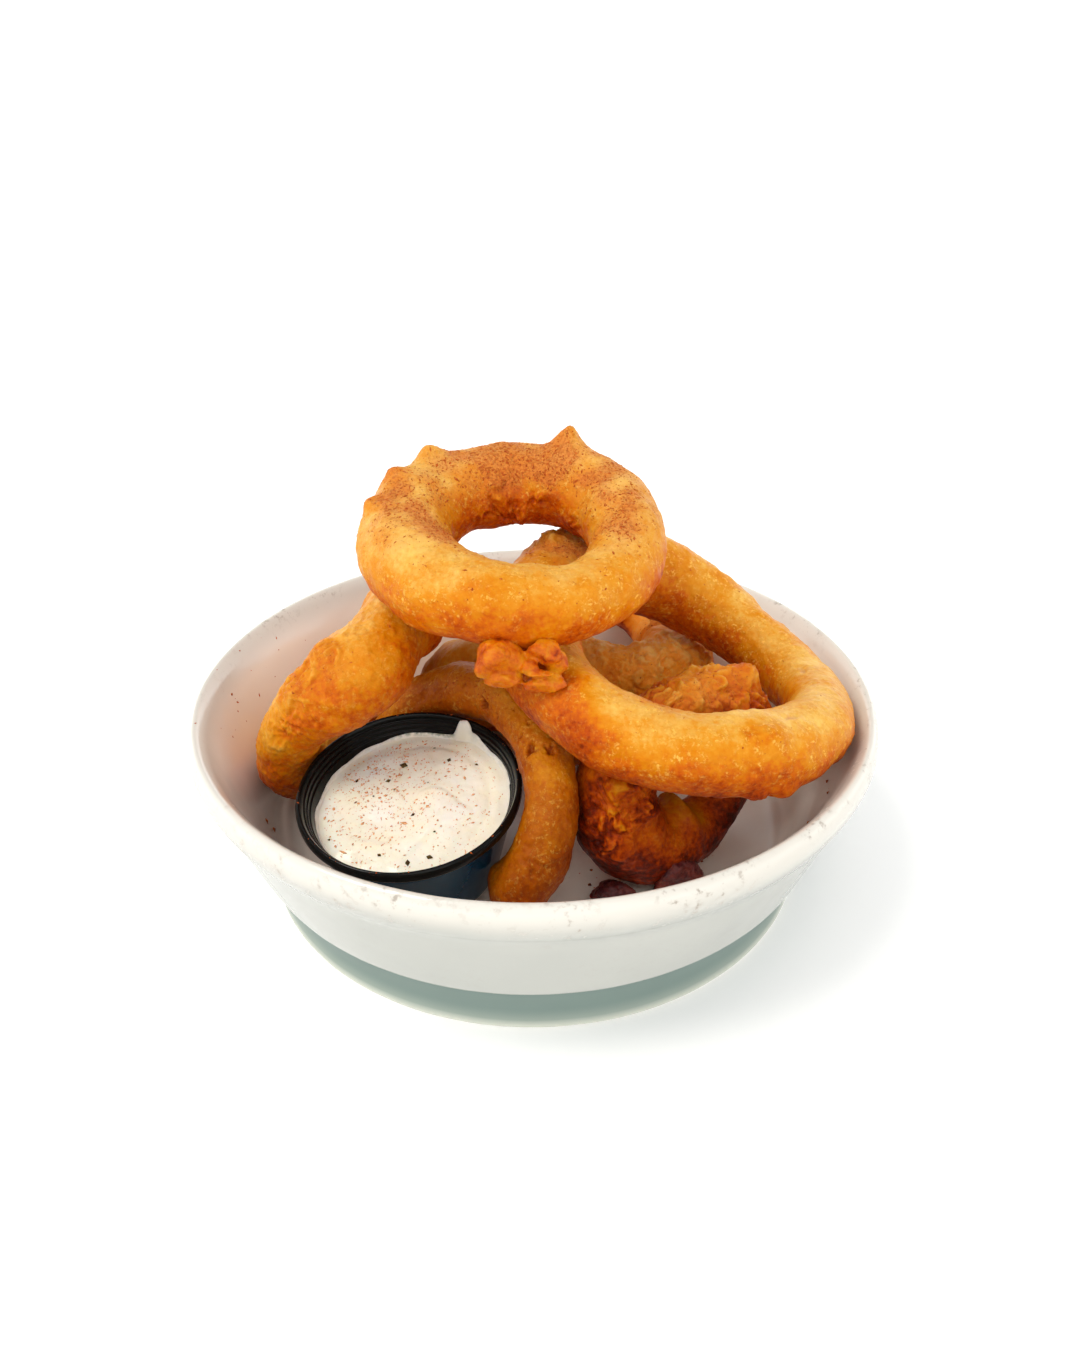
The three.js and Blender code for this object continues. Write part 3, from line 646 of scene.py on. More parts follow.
# %% White glaze
def white_glaze():
    """An off-white glaze with painted light: grey outside as painted shade, warmer and brighter by
    `inside` for the rings' warm light, painted shade and a greenish painted reflection by `foot`, and
    marked by `wear`.
    """
    material, tree, shader, place = start_material("white_stoneware_glaze", Roughness=0.2, IOR=1.52,
                                                   Coat_Weight=0.2, Coat_Roughness=0.06)
    clouds = add(tree, "TexNoise", Vector=place, Scale=1 / (45 * MM), Detail=2.0)
    # painted shade: the outside is drawn grey; painted light: the inside is a warm, bright white
    outer = add(tree, "ValToRGB", Fac=clouds, stops=[(0.3, "#AAABA4"), (0.7, "#B2B2AB")])
    within = add(tree, "Attribute", "Fac", attribute_name="inside")
    tone = add(tree, "Mix", 2, data_type="RGBA", i0=within, i6=outer, i7="#F6EEE2")
    # painted shade and a painted greenish reflection on the foot: darkest under the wall, paling to its
    # lower edge
    low = add(tree, "Attribute", "Fac", attribute_name="foot")
    shade = add(tree, "ValToRGB", Fac=low, stops=[(0.0, "#D8D8CA"), (1.0, "#6E8079"), (0.5, "#8A968C")])
    footed = add(tree, "Math", operation="GREATER_THAN", i0=low, i1=0.001)
    body = add(tree, "Mix", 2, data_type="RGBA", i0=footed, i6=tone, i7=shade)
    # rubbed marks of 2 mm in patches of 17 mm, only where the piece is worn
    fine = add(tree, "TexNoise", Vector=place, Scale=1 / (2.2 * MM), Detail=5.0, Roughness=0.65)
    marks = add(tree, "MapRange", Value=fine, From_Min=0.55, From_Max=0.65)
    wide = add(tree, "TexNoise", Vector=place, Scale=1 / (17 * MM), Detail=2.0)
    patches = add(tree, "MapRange", Value=wide, From_Min=0.42, From_Max=0.6)
    wear = add(tree, "Attribute", "Fac", attribute_name="wear")
    marked = add(tree, "Math", operation="MULTIPLY", i0=marks, i1=patches)
    scuff = add(tree, "Math", operation="MULTIPLY", i0=marked, i1=wear)
    amount = add(tree, "Math", operation="MULTIPLY", i0=scuff, i1=0.8)
    colour = add(tree, "Mix", 2, data_type="RGBA", i0=amount, i6=body, i7="#9A8E80")
    tree.links.new(colour, shader.inputs["Base Color"])
    rubbed = add(tree, "MapRange", Value=scuff, To_Min=0.2, To_Max=0.55)
    tree.links.new(rubbed, shader.inputs["Roughness"])
    ripple = add(tree, "TexNoise", Vector=place, Scale=1 / (6 * MM), Detail=2.0)
    rippled = add(tree, "Bump", Strength=0.12, Distance=0.4 * MM, Height=ripple)
    tree.links.new(rippled, shader.inputs["Normal"])
    return material


# the warm inside, the grey outside and the grey-green foot are painted light and shade
print("the glaze is warm inside, grey-green on the foot and marked at the rim")

# %% The bowl
BOWL_PROFILE = [
    (0, 4, 0), (70, 4, 2), (75.2, 0, 1.5), (82, 0, 0.6), (82.6, 1, 0.8), (81.2, 5.3, 3),
    (81.2, 15.4, 1.2), (85.5, 16, 1.4), (87, 17.2, 1.5), (96.6, 43.8, 2.6), (99, 47.4, 2.6),
    (100.2, 51.8, 3), (99.1, 55.6, 1.8), (97.2, 56.8, 1.8), (95, 54.2, 1.6), (92.2, 48.5, 3),
    (84, 28, 12), (79, 9, 13), (66, 9, 5), (0, 9, 0)]  # radius, height and ease, in mm
BOWL_COLUMNS = 288
bowl_line = evenly(eased(BOWL_PROFILE, 12), 1.6)
bowl_points, bowl_faces = turned(bowl_line, BOWL_COLUMNS)
line_radius, line_level = bowl_line.T
crest = int(np.argmax(line_level))
after_crest = np.arange(len(bowl_line)) > crest
# inside carries the painted warm light within the bowl and the painted shade outside, halfway on the lip
inside = np.where(after_crest, 0.5 + 0.5 * smooth_step(54, 46, line_level),
                  0.5 * smooth_step(46, 55, line_level))
# foot carries painted shade under the wall, fading to the foot's lower edge
foot = ~after_crest * smooth_step(77, 80, line_radius) * smooth_step(17.0, 15.6, line_level)
foot *= 0.02 + 0.98 * smooth_step(-0.5, 6, line_level)
wear = smooth_step(44, 50, line_level) * smooth_step(93, 97, line_radius)
wear = np.maximum(wear, 0.15 * ~after_crest * smooth_step(84, 90, line_radius))
radius = np.hypot(bowl_points[:, 0], bowl_points[:, 1])
out = bowl_points * [1, 1, 0] / np.maximum(radius, 1)[:, None]
# a thrown wall is never quite true: 0.12 mm over 40 mm, and 0.05 mm over 9 mm
bowl_points += out * (0.12 * noise(bowl_points, 40, 3) + 0.05 * noise(bowl_points, 9, 4))[:, None]
bowl_values = {key: along_profile(BOWL_COLUMNS, numbers)
               for key, numbers in {"wear": wear, "foot": foot, "inside": inside}.items()}
make_piece("glazed_bowl", bowl_points, bowl_faces, white_glaze(), "white_glaze", "bowl", **bowl_values)

# %% [markdown]
# ## The portion cup
# A disposable portion cup is thermoformed from a black polypropylene sheet a millimetre thick. It
# is drawn thin and glossy, with a rolled lip that a lid snaps over and stacking ridges below it.

# %% Black plastic cup
def black_plastic():
    """Glossy black polypropylene, with a painted blue-teal reflection outside and the waviness of a thin
    moulded wall.
    """
    material, tree, shader, place = start_material("black_polypropylene", Roughness=0.1, IOR=1.49,
                                                   Specular_IOR_Level=0.16)
    clouds = add(tree, "TexNoise", Vector=place, Scale=1 / (20 * MM), Detail=1.0)
    # painted reflection: the outside is drawn blue-teal for the light that the black wall reflects
    outer = add(tree, "ValToRGB", Fac=clouds, stops=[(0.35, "#022E44"), (0.65, "#043850")])
    within = add(tree, "Attribute", "Fac", attribute_name="inside")
    tone = add(tree, "Mix", 2, data_type="RGBA", i0=within, i6=outer, i7="#0A0B0A")
    tree.links.new(tone, shader.inputs["Base Color"])
    fine = add(tree, "TexNoise", Vector=place, Scale=1 / (1.2 * MM), Detail=4.0, Roughness=0.6)
    gloss = add(tree, "MapRange", Value=fine, From_Min=0.4, From_Max=0.7, To_Min=0.12, To_Max=0.24)
    tree.links.new(gloss, shader.inputs["Roughness"])
    waves = add(tree, "TexNoise", Vector=place, Scale=1 / (5 * MM), Detail=2.0)
    wavy = add(tree, "Bump", Strength=0.15, Distance=0.3 * MM, Height=waves)
    tree.links.new(wavy, shader.inputs["Normal"])
    return material


CUP_RIM_CENTRE = np.array([-34.0, -37.3, 43.8])
CUP_TILT, CUP_TOWARD = 10.1, -102.3
LIP_UNDERSIDE = -3.2
NECK_RADIUS, NECK_LEVEL, FLOOR_RADIUS, FLOOR_LEVEL = 27.0, -6.4, 21.3, -29.8  # inside the cup
CUP_PROFILE = [
    (0, -30.3, 0), (19.5, -30.3, 0.5), (20.3, -31, 0.5), (22.2, -31, 0.6), (22.8, -29.8, 0.6),
    (28.75, -5.5, 0.5), (28.8, LIP_UNDERSIDE, 0.3), (30.5, -3.1, 0.3), (31, -2.6, 0.5),
    (31, -0.8, 0.8), (30.3, 0, 0.6), (29.7, 0, 0.3), (29.2, -0.9, 0.4), (28.95, -1.7, 0.2),
    (28.5, -1.9, 0.3), (28.4, -3.1, 0.4), (27.95, -3.3, 0.3), (27.85, -4.5, 0.4), (27.4, -4.7, 0.3),
    (NECK_RADIUS, NECK_LEVEL, 0.3), (FLOOR_RADIUS, FLOOR_LEVEL, 0.8), (0, FLOOR_LEVEL, 0)]
CUP_COLUMNS = 220
lean_toward = Vector((math.cos(math.radians(CUP_TOWARD)), math.sin(math.radians(CUP_TOWARD)), 0))
CUP_TURN = np.array(Matrix.Rotation(math.radians(CUP_TILT), 3, Vector((0, 0, 1)).cross(lean_toward)))


def in_cup_place(points):
    """Points of the upright cup, whose rim is at height 0, tipped and moved to where the cup stands."""
    return points @ CUP_TURN.T + CUP_RIM_CENTRE


cup_line = evenly(eased(CUP_PROFILE, 5), 1.2)
cup_points, cup_faces = turned(cup_line, CUP_COLUMNS)
# the lip and the inside are plain black; only the outside below the lip has the painted blue-teal
# reflection
cup_inside = np.arange(len(cup_line)) > np.argmax(cup_line[:, 1])
cup_inside = (cup_inside | (cup_line[:, 1] > LIP_UNDERSIDE)).astype(float)
make_piece("black_sauce_cup", in_cup_place(cup_points), cup_faces, black_plastic(), "black_plastic",
           "sauce_cup", inside=along_profile(CUP_COLUMNS, cup_inside))

# %% [markdown]
# ## The dip
# A mayonnaise-like dip is an emulsion: smooth, pale, a little see-through at its edge, with a soft
# wet shine. A spoon leaves it mounded and folded, it clings to the wall, and here a strand of it was
# dragged up to the lip. One grid makes it all: from the middle out to the wall, up the wall as a
# thin film, back down inside the wall, and across the floor of the cup.

# %% Dip
DIP_DEPTH, DIP_SLOPE, DIP_MOUND = 7.0, (1.6, 30), 1.2
STRAND = dict(at=61.5, reach=4.0, width=5.2, base=1.8)  # degrees round, mm up, degrees wide, mm up
DIP_COLUMNS, SURFACE_ROWS, FILM_ROWS, BACK_ROWS = 560, 110, 33, 11
MIDDLE_SHARE = 0.012  # the surface's first loop, as a share of the cup's radius
DIP_BOTTOM = FLOOR_LEVEL + 0.2


def cup_wall(level):
    """Inside radius of the cup at a height below the rim: its straight taper, and its stacking ridges
    as a slope of 0.35 mm a millimetre."""
    down = np.clip((NECK_LEVEL - level) / (NECK_LEVEL - FLOOR_LEVEL), 0, 1)
    return NECK_RADIUS + (FLOOR_RADIUS - NECK_RADIUS) * down + 0.35 * np.clip(level - NECK_LEVEL, 0, 5.4)


def dip_level(share, angle):
    """Height of the dip's surface: a slope to one side, a mound, a spiral swirl, folds left by a spoon, a
    groove along one side and a hollow near the middle."""
    reach = share * NECK_RADIUS
    place = np.stack([reach * np.cos(angle), reach * np.sin(angle), 0 * share * angle], -1)
    swirl = 0.5 * np.sin(math.pi * share) * np.cos(2 * angle + 4 * share)
    fold = smooth_step(-0.3, 0.9, np.sin(2 * angle + 8 * share + 1.8 * noise(place, 14, 61)))
    folds = 0.55 * fold * np.sin(math.pi * np.clip(share, 0, 1)) + 0.5 * noise(place, 11, 62)
    folds += 0.16 * noise(place, 4.5, 63) + 0.05 * noise(place, 1.8, 67)
    groove = 0.5 * np.exp(-((share - 0.82) / 0.06) ** 2)
    groove = groove * smooth_step(-0.2, 0.7, np.cos(angle - math.radians(15)))
    across, along = share * np.cos(angle) + 0.03, share * np.sin(angle) + 0.06
    hollow = 0.35 * np.exp(-(across ** 2 + along ** 2) / 0.02)
    level = share * wave(DIP_SLOPE, angle, 1) + DIP_MOUND * (1 - share ** 2) + swirl + folds - DIP_DEPTH
    return level - groove - hollow - 0.3 * smooth_step(0.84, 0.97, share)


def dip_shape():
    """The whole closed grid, row by row, in the upright cup's own place, and how thin the dip is there:
    the surface, then the film that climbs the wall, then the side that lies against the cup."""
    angle = np.linspace(0, 2 * math.pi, DIP_COLUMNS, endpoint=False)[None, :]
    share = np.linspace(MIDDLE_SHARE, 1, SURFACE_ROWS)[:, None]
    level = dip_level(share, angle)
    surface = round_the_axis(share * (cup_wall(level) - 0.25), angle, level)
    off = (np.degrees(angle) - STRAND["at"] + 180) % 360 - 180
    place = round_the_axis(NECK_RADIUS, angle, 0 * angle)
    strand = np.exp(-((off + 0.5 * noise(place, 3, 66)) / STRAND["width"]) ** 6)
    strand = strand * (1 + 0.14 * noise(place, 1.1, 68))
    climb = np.clip(1.1 + 0.6 * noise(place, 9, 64) + 0.12 * noise(place, 3, 65), 0.3, 3)
    climb = climb + STRAND["reach"] * strand + STRAND["base"] * np.exp(-((off + 4) / 13) ** 2)
    up = np.linspace(0, 1, FILM_ROWS + 1)[1:, None]
    film = (0.45 + 0.8 * strand) * np.sqrt(1 - up ** 2) * (1 - 0.35 * strand * np.sin(math.pi * up))
    film_level = level[-1:] + climb * up
    wall = round_the_axis(cup_wall(film_level) - film + 0.04, angle, film_level)
    below = np.linspace(film_level[-1], np.full(DIP_COLUMNS, DIP_BOTTOM), BACK_ROWS + 1)[1:, :]
    back = round_the_axis(cup_wall(below) + 0.05, angle, below)
    rows = np.concatenate([surface, wall, back])
    patch = smooth_step(32, 8, np.abs(off - 22)) + 0.25
    film_thin = np.clip(up * patch * (1 - strand), 0, 1)
    thin = np.concatenate([0 * share * angle, film_thin, np.ones_like(below)])
    points = np.concatenate([rows.reshape(-1, 3), [[0, 0, level[0].mean()], [0, 0, DIP_BOTTOM]]])
    return points, between_tips(len(rows), DIP_COLUMNS), np.concatenate([thin.ravel(), [0, 1]])


def cream_dip():
    """An emulsion: pale cream with strong subsurface light and a wet shine, grey-green where `thin`."""
    material, tree, shader, place = start_material(
        "cream_dip", Subsurface_Weight=0.4, Subsurface_Radius=(1.0, 0.75, 0.5), Subsurface_Scale=0.003,
        Roughness=0.3, IOR=1.42, Coat_Weight=0.3, Coat_Roughness=0.08)
    clouds = add(tree, "TexNoise", Vector=place, Scale=1 / (9 * MM), Detail=3.0)
    cream = add(tree, "ValToRGB", Fac=clouds, stops=[(0.3, "#FFF4DA"), (0.7, "#FFFBEC")])
    thin = add(tree, "Attribute", "Fac", attribute_name="thin")
    smear = add(tree, "TexNoise", Vector=place, Scale=1 / (1.6 * MM), Detail=3.0)
    patchy = add(tree, "MapRange", Value=smear, From_Min=0.38, From_Max=0.58, To_Min=0.1, To_Max=0.8)
    see_through = add(tree, "Math", operation="MULTIPLY", i0=thin, i1=patchy)
    smeared = add(tree, "Mix", 2, data_type="RGBA", i0=see_through, i6=cream, i7="#6C7458")
    # oily orange rings round the spice, 0.6 mm wide
    halo = add(tree, "TexNoise", Vector=place, Scale=1 / (0.6 * MM), Detail=3.0, Roughness=0.7)
    oily = add(tree, "MapRange", Value=halo, From_Min=0.62, From_Max=0.74, To_Max=0.22)
    stained = add(tree, "Mix", 2, data_type="RGBA", i0=oily, i6=smeared, i7="#E8A468")
    tree.links.new(stained, shader.inputs["Base Color"])
    whipped = add(tree, "TexNoise", Vector=place, Scale=1 / (2.2 * MM), Detail=4.0, Roughness=0.6)
    soft = add(tree, "Bump", Strength=0.35, Distance=0.4 * MM, Height=whipped)
    tree.links.new(soft, shader.inputs["Normal"])
    return material


dip_points, dip_faces, dip_thin = dip_shape()
make_piece("speckled_dip", in_cup_place(dip_points), dip_faces, cream_dip(), "cream_dip", "dip",
           thin=dip_thin)

# %% [markdown]
# ## Scraps of batter and onion
# Drops of batter that fall off in the fryer come out as small folded scraps. Each is a few rounded
# lobes that have run together, so the lobes are joined by a fine voxel remesh, and the same frying
# noise then roughens the joined skin. Two bits of dark fried onion are made in the same way.

# %% Scraps
ONION_COLOURS = [(0.0, "#A85A38"), (1.0, "#220808"), (0.5, "#6E2A22"), (0.8, "#40121A")]
dark_batter = fried_batter("dark_batter", sheen=0.22)
dark_onion = fried_batter("dark_fried_onion", ONION_COLOURS, 0.4)
# each lobe is its centre, its half sizes, its turn in degrees and how uneven it is
SCRAPS = {
    "batter_scrap": dict(material=dark_batter, toast=0.6, rough=0.22, lobes=[
        ((-8.3, -40, 84.8), (6.2, 5.2, 5.8), 25, 0.14), ((-7.2, -41, 80.6), (5.0, 4.4, 3.0), 10, 0.1),
        ((3.4, -39.8, 86.8), (4.6, 4.0, 3.4), -20, 0.16), ((6.4, -40.6, 84.2), (2.8, 3.0, 3.6), 0, 0.12),
        ((-0.6, -42.8, 83.8), (2.4, 2.5, 2.2), 0, 0.1), ((2.2, -44.4, 83.0), (3.4, 1.6, 0.9), 8, 0.1),
        ((3.2, -42.2, 79.4), (5.2, 3.8, 2.7), 5, 0.14)]),
    "onion_bit_right": dict(material=dark_onion, toast=0.6, rough=0.4, lobes=[
        ((40.5, -44.5, 16), (7, 3, 6.4), 14, 0.14)]),
    "onion_bit_front": dict(material=dark_onion, toast=0.75, rough=0.4, lobes=[
        ((22.5, -46.5, 13), (6.4, 3.6, 3.4), -8, 0.14)]),
}
LOBE_ROWS, LOBE_COLUMNS, VOXEL = 38, 64, 0.32  # the last in mm


def lobe(centre, half, turn, uneven):
    """An egg shape with bulges: half sizes times 1 + uneven (sin(3a + 2d) + 0.6 cos(2a - 3d)) for the
    angle a round it and d down from its top, turned about Z."""
    down = np.linspace(0, math.pi, LOBE_ROWS + 2)[1:-1, None]
    angle = np.linspace(0, 2 * math.pi, LOBE_COLUMNS, endpoint=False)[None, :]
    bulge = 1 + uneven * (np.sin(3 * angle + 2 * down) + 0.6 * np.cos(2 * angle - 3 * down))
    body = np.stack([half[0] * bulge * np.sin(down) * np.cos(angle),
                     half[1] * bulge * np.sin(down) * np.sin(angle),
                     half[2] * np.cos(down) + 0 * angle], -1).reshape(-1, 3)
    points = np.concatenate([body, [[0, 0, half[2]], [0, 0, -half[2]]]])
    return points @ turned_about("Z", turn).T + centre, between_tips(LOBE_ROWS, LOBE_COLUMNS)


def joined_lobes(name, lobes):
    """One closed mesh of all the lobes: their meshes side by side, remeshed in small voxels."""
    mesh = bpy.data.meshes.new(name + "_lobes")
    points, faces, start = [], [], 0
    for entry in lobes:
        part, part_faces = lobe(*entry)
        points.append(part)
        faces += [face for group in part_faces for face in (group + start).tolist()]
        start += len(part)
    mesh.from_pydata(np.concatenate(points) * MM, [], faces)
    piece = bpy.data.objects.new(name + "_lobes", mesh)
    bpy.context.scene.collection.objects.link(piece)
    remesh = piece.modifiers.new("join", "REMESH")
    remesh.mode, remesh.voxel_size, remesh.adaptivity = "VOXEL", VOXEL * MM, 0.0
    smooth = piece.modifiers.new("soften", "SMOOTH")
    smooth.factor, smooth.iterations = 0.5, 3
    finished = bpy.data.meshes.new_from_object(piece.evaluated_get(bpy.context.evaluated_depsgraph_get()))
    bpy.data.objects.remove(piece)
    return finished


def surface_of(mesh):
    """A finished mesh's points and normals in mm."""
    points, normals = np.empty(len(mesh.vertices) * 3), np.empty(len(mesh.vertices) * 3)
    mesh.vertices.foreach_get("co", points)
    mesh.vertices.foreach_get("normal", normals)
    return points.reshape(-1, 3) / MM, normals.reshape(-1, 3)


def make_scrap(name, scrap, seed):
    """Joins the lobes, then moves each point along its normal by the frying noise."""
    mesh = joined_lobes(name, scrap["lobes"])
    points, normals = surface_of(mesh)
    flake = ridges(points, 2.8, seed)
    height = scrap["rough"] * (0.7 * flake + 0.35 * ridges(points, 1.3, seed + 1))
    height += 0.12 * bubbles(points, 1.7, 0.7, 0.5, seed + 2) - 0.3
    faces = np.empty(len(mesh.loops), int)
    mesh.loops.foreach_get("vertex_index", faces)
    bpy.data.meshes.remove(mesh)
    toast = scrap["toast"] - 0.06 * flake + 0.12 * noise(points, 4, seed + 3)
    none = np.zeros_like(toast)
    return make_piece("fried_" + name, points + normals * height[:, None], [faces.reshape(-1, 4)],
                      scrap["material"], "dark_batter", name, toast=toast, dust=none, onion=none,
                      flecks=none + 0.12)


for k, (name, scrap) in enumerate(SCRAPS.items()):
    make_scrap(name, scrap, 400 + 10 * k)

# %% [markdown]
# ## Paprika, pepper and crumbs
# Ground paprika is flat flakes of a quarter to half a millimetre, and larger where it has clumped on
# the wet dip. Cracked pepper is chunkier, up to two or three. Each speck is a little eight-sided
# grain, squashed and turned at random but always alike from run to run, laid on the surface of the
# pieces that caught it.

# %% Specks
EIGHT = np.array([[1, 0, 0], [-1, 0, 0], [0, 1, 0], [0, -1, 0], [0, 0, 1], [0, 0, -1]], float)
EIGHT_FACES = np.array([[0, 2, 4], [2, 1, 4], [1, 3, 4], [3, 0, 4],
                        [2, 0, 5], [1, 2, 5], [3, 1, 5], [0, 3, 5]])
ABOVE, LIP_TOP = 0.02, (29.7, 30.5)  # a speck's middle over its surface, and the lip's radii, in mm


def grains(centres, normals, sizes, flatness, rng, longest=1.2):
    """Grains at the centres: eight-sided, each width drawn at 0.6 to 1.2 of its size, or up to
    `longest` in one direction, flattened along the surface's normal and turned about it."""
    count = len(centres)
    side = np.cross(normals, rng.normal(size=(count, 3)))
    side /= np.linalg.norm(side, axis=-1, keepdims=True)
    frames = np.stack([side, np.cross(normals, side), normals], axis=1)
    stretch = rng.uniform(0.6, 1.2, (count, 3))
    stretch[:, 0] *= 1 + (longest / 1.2 - 1) * rng.uniform(0, 1, count) ** 2
    half = sizes[:, None] * stretch * [1, 0.8, flatness] / 2
    corners = EIGHT[None] * half[:, None] * rng.uniform(0.75, 1.25, (count, 6, 1))
    points = np.einsum("nij,njk->nik", corners, frames) + centres[:, None]
    faces = (EIGHT_FACES[None] + 6 * np.arange(count)[:, None, None]).reshape(-1, 3)
    return points.reshape(-1, 3), faces


def dusted_places(piece, count, rng):
    """Points of a ring drawn with a chance that rises with its dust."""
    points, normals = surface_of(piece.data)
    dust = np.empty(len(points), np.float32)
    piece.data.attributes["dust"].data.foreach_get("value", dust)
    chance = dust.astype(float) ** 1.5 * (normals[:, 2] > 0.05)
    chosen = rng.choice(len(points), count, p=chance / chance.sum())
    return points[chosen] + ABOVE * normals[chosen], normals[chosen]


def on_dip(share, angle):
    """Points on the dip's surface at a share of its radius and an angle round it, and the way it faces."""
    level = dip_level(share, angle)
    points = round_the_axis(share * (cup_wall(level) - 0.25), angle, level + ABOVE)
    return in_cup_place(points), np.broadcast_to(CUP_TURN[:, 2], points.shape)


def dip_places(count, rng):
    """Places on the dip: from five times as many over its disc, drawn with a chance that is highest
    round the place (-0.32, 0.25) of its radius, where most of the spice fell."""
    share = 0.94 * np.sqrt(rng.uniform(0, 1, 5 * count))
    angle = rng.uniform(0, 2 * math.pi, 5 * count)
    away = np.hypot(share * np.cos(angle) + 0.32, share * np.sin(angle) - 0.25)
    chance = 0.22 + np.exp(-(away / 0.48) ** 2)
    chosen = rng.choice(5 * count, count, replace=False, p=chance / chance.sum())
    return on_dip(share[chosen], angle[chosen])


def lip_places(count, rng):
    """Places on the top of the cup's lip, at random round it."""
    angle = rng.uniform(0, 2 * math.pi, count)
    reach = rng.uniform(*LIP_TOP, count)
    points = round_the_axis(reach, angle, ABOVE + 0 * angle)
    return in_cup_place(points), np.broadcast_to(CUP_TURN[:, 2], points.shape)


def bowl_places(places, spread, rng):
    """Places on the bowl's inside at (degrees round it, radius), each strewn by `spread` mm."""
    around, reach = np.array(places, float).T
    around = np.radians(around) + rng.normal(0, spread, len(places)) / reach
    reach = reach + rng.normal(0, spread * 0.5, len(places))
    inner = bowl_line[after_crest][::-1]
    level = np.interp(reach, inner[:, 0], inner[:, 1])
    rise = (np.interp(reach + 0.5, inner[:, 0], inner[:, 1]) - level) * 2
    normals = round_the_axis(-rise, around, 1 + 0 * rise)
    return round_the_axis(reach, around, level), normals / np.linalg.norm(normals, axis=-1, keepdims=True)


def speck_material(name, dark, light, roughness, soaked=None):
    """Dry ground spice or crumbs: matt, the tone varying from grain to grain. Where the piece's
    `soaked` is 1, as on the wet dip, spice turns the other colour: a paler orange, partly
    wet spice and partly painted light against the shade on the grains' sides."""
    material, tree, shader, place = start_material(name, Roughness=roughness, IOR=1.45,
                                                   Specular_IOR_Level=0.15)
    varied = add(tree, "TexNoise", Vector=place, Scale=1 / (0.8 * MM), Detail=1.0)
    tone = add(tree, "ValToRGB", Fac=varied, stops=[(0.3, dark), (0.7, light)])
    if soaked:
        wet = add(tree, "Attribute", "Fac", attribute_name="soaked")
        share = add(tree, "MapRange", Value=varied, From_Min=0.3, From_Max=0.7, To_Min=0.4, To_Max=1.0)
        amount = add(tree, "Math", operation="MULTIPLY", i0=wet, i1=share)
        tone = add(tree, "Mix", 2, data_type="RGBA", i0=amount, i6=tone, i7=soaked)
    tree.links.new(tone, shader.inputs["Base Color"])
    return material


# %% Paprika
rng = np.random.default_rng(7)
ON_RINGS = {"ring_top": 4200, "ring_front": 700, "ring_low": 300, "ring_middle": 200, "ring_left": 160,
            "ring_by_cup": 200}
ON_LIP, ON_DIP, STREWN_SPREAD = 30, 1500, 5.0
STREWN = [(177, 93), (173, 90), (-171, 93), (165, 91), (151, 91), (140, 93), (-178, 89), (160, 93),
          (-29, 57), (-60, 37), (-75, 40), (-24, 90), (-40, 80), (-15, 86), (130, 90), (-160, 84)] * 3
places = [dusted_places(fried[name], count, rng) for name, count in ON_RINGS.items()]
places += [lip_places(ON_LIP, rng), bowl_places(STREWN, STREWN_SPREAD, rng)]
centres, normals = (np.concatenate(parts) for parts in zip(*places))
sizes = rng.gamma(5, 0.082, len(centres)).clip(0.18, 0.9)
speckled, dip_normals = dip_places(ON_DIP, rng)
dip_sizes = rng.gamma(2.4, 0.16, ON_DIP).clip(0.2, 1.3)
centres, normals, sizes = (np.concatenate(pair) for pair in
                           ((centres, speckled), (normals, dip_normals), (sizes, dip_sizes)))
points, faces = grains(centres, normals, sizes, 0.3, rng, 2.6)
soaked = np.repeat(np.arange(len(sizes)) >= len(sizes) - ON_DIP, len(EIGHT)).astype(float)
# on the dip the spice is drawn a paler orange: wet spice, and painted light against the shade the small
# grains get
ground_paprika = speck_material("ground_paprika", "#A04010", "#CC6826", 0.7, "#FFC088")
make_piece("paprika_specks", points, [faces], ground_paprika, "dark_batter", soaked=soaked)

# %% Pepper
# each fleck is its share of the dip's radius, its degrees round the cup and its size in mm
PEPPER = [(0.73, -111, 2.125), (0.78, -88, 2.25), (0.76, -72, 2.0), (0.65, 57, 1.625), (0.81, 37, 1.75),
          (0.79, 77, 1.125), (0.49, 104, 2.75), (0.72, 150, 1.5), (0.39, 133, 2.5), (0.42, 166, 1.375),
          (0.19, -79, 1.375), (0.92, -153, 1.125), (0.51, -58, 1.0), (0.3, 60, 0.875), (0.6, 175, 1.0),
          (0.25, 140, 1.0)]
share, around, size = np.array(PEPPER).T
centres, normals = on_dip(share, np.radians(around))
points, faces = grains(centres, normals, size, 0.4, rng, 1.6)
cracked_pepper = speck_material("cracked_pepper", "#3A2610", "#6E5A30", 0.6)
make_piece("pepper_specks", points, [faces], cracked_pepper, "dark_batter")

# %% Crumbs
# each crumb lies at its degrees round the bowl and its radius in mm
CRUMBS = [(-164.5, 81), (-163, 83), (-19.2, 88), (-24.6, 89.3), (-27, 86), (-29.5, 57), (-33.6, 58.6),
          (-78, 37), (-62, 36), (-66, 41), (178, 92.6), (-36, 60)]
centres, normals = bowl_places(CRUMBS, 0.6, rng)
points, faces = grains(centres, normals, rng.uniform(0.9, 2.4, len(centres)), 0.6, rng)
crumb_brown = speck_material("batter_crumbs", "#6A2C10", "#B8642A", 0.6)
make_piece("batter_crumbs", points, [faces], crumb_brown, "dark_batter")

# %% [markdown]
# ## Floor, light and camera
# The floor is one white sheet that curves up far behind the bowl on every side, as a studio sweep
# does, so no edge shows from any angle. Far out, where it starts to rise, it glows softly, like
# the wall of a light tent. One broad light stands high on the left, a weak one fills from the
# front, and the pale surroundings do the rest.

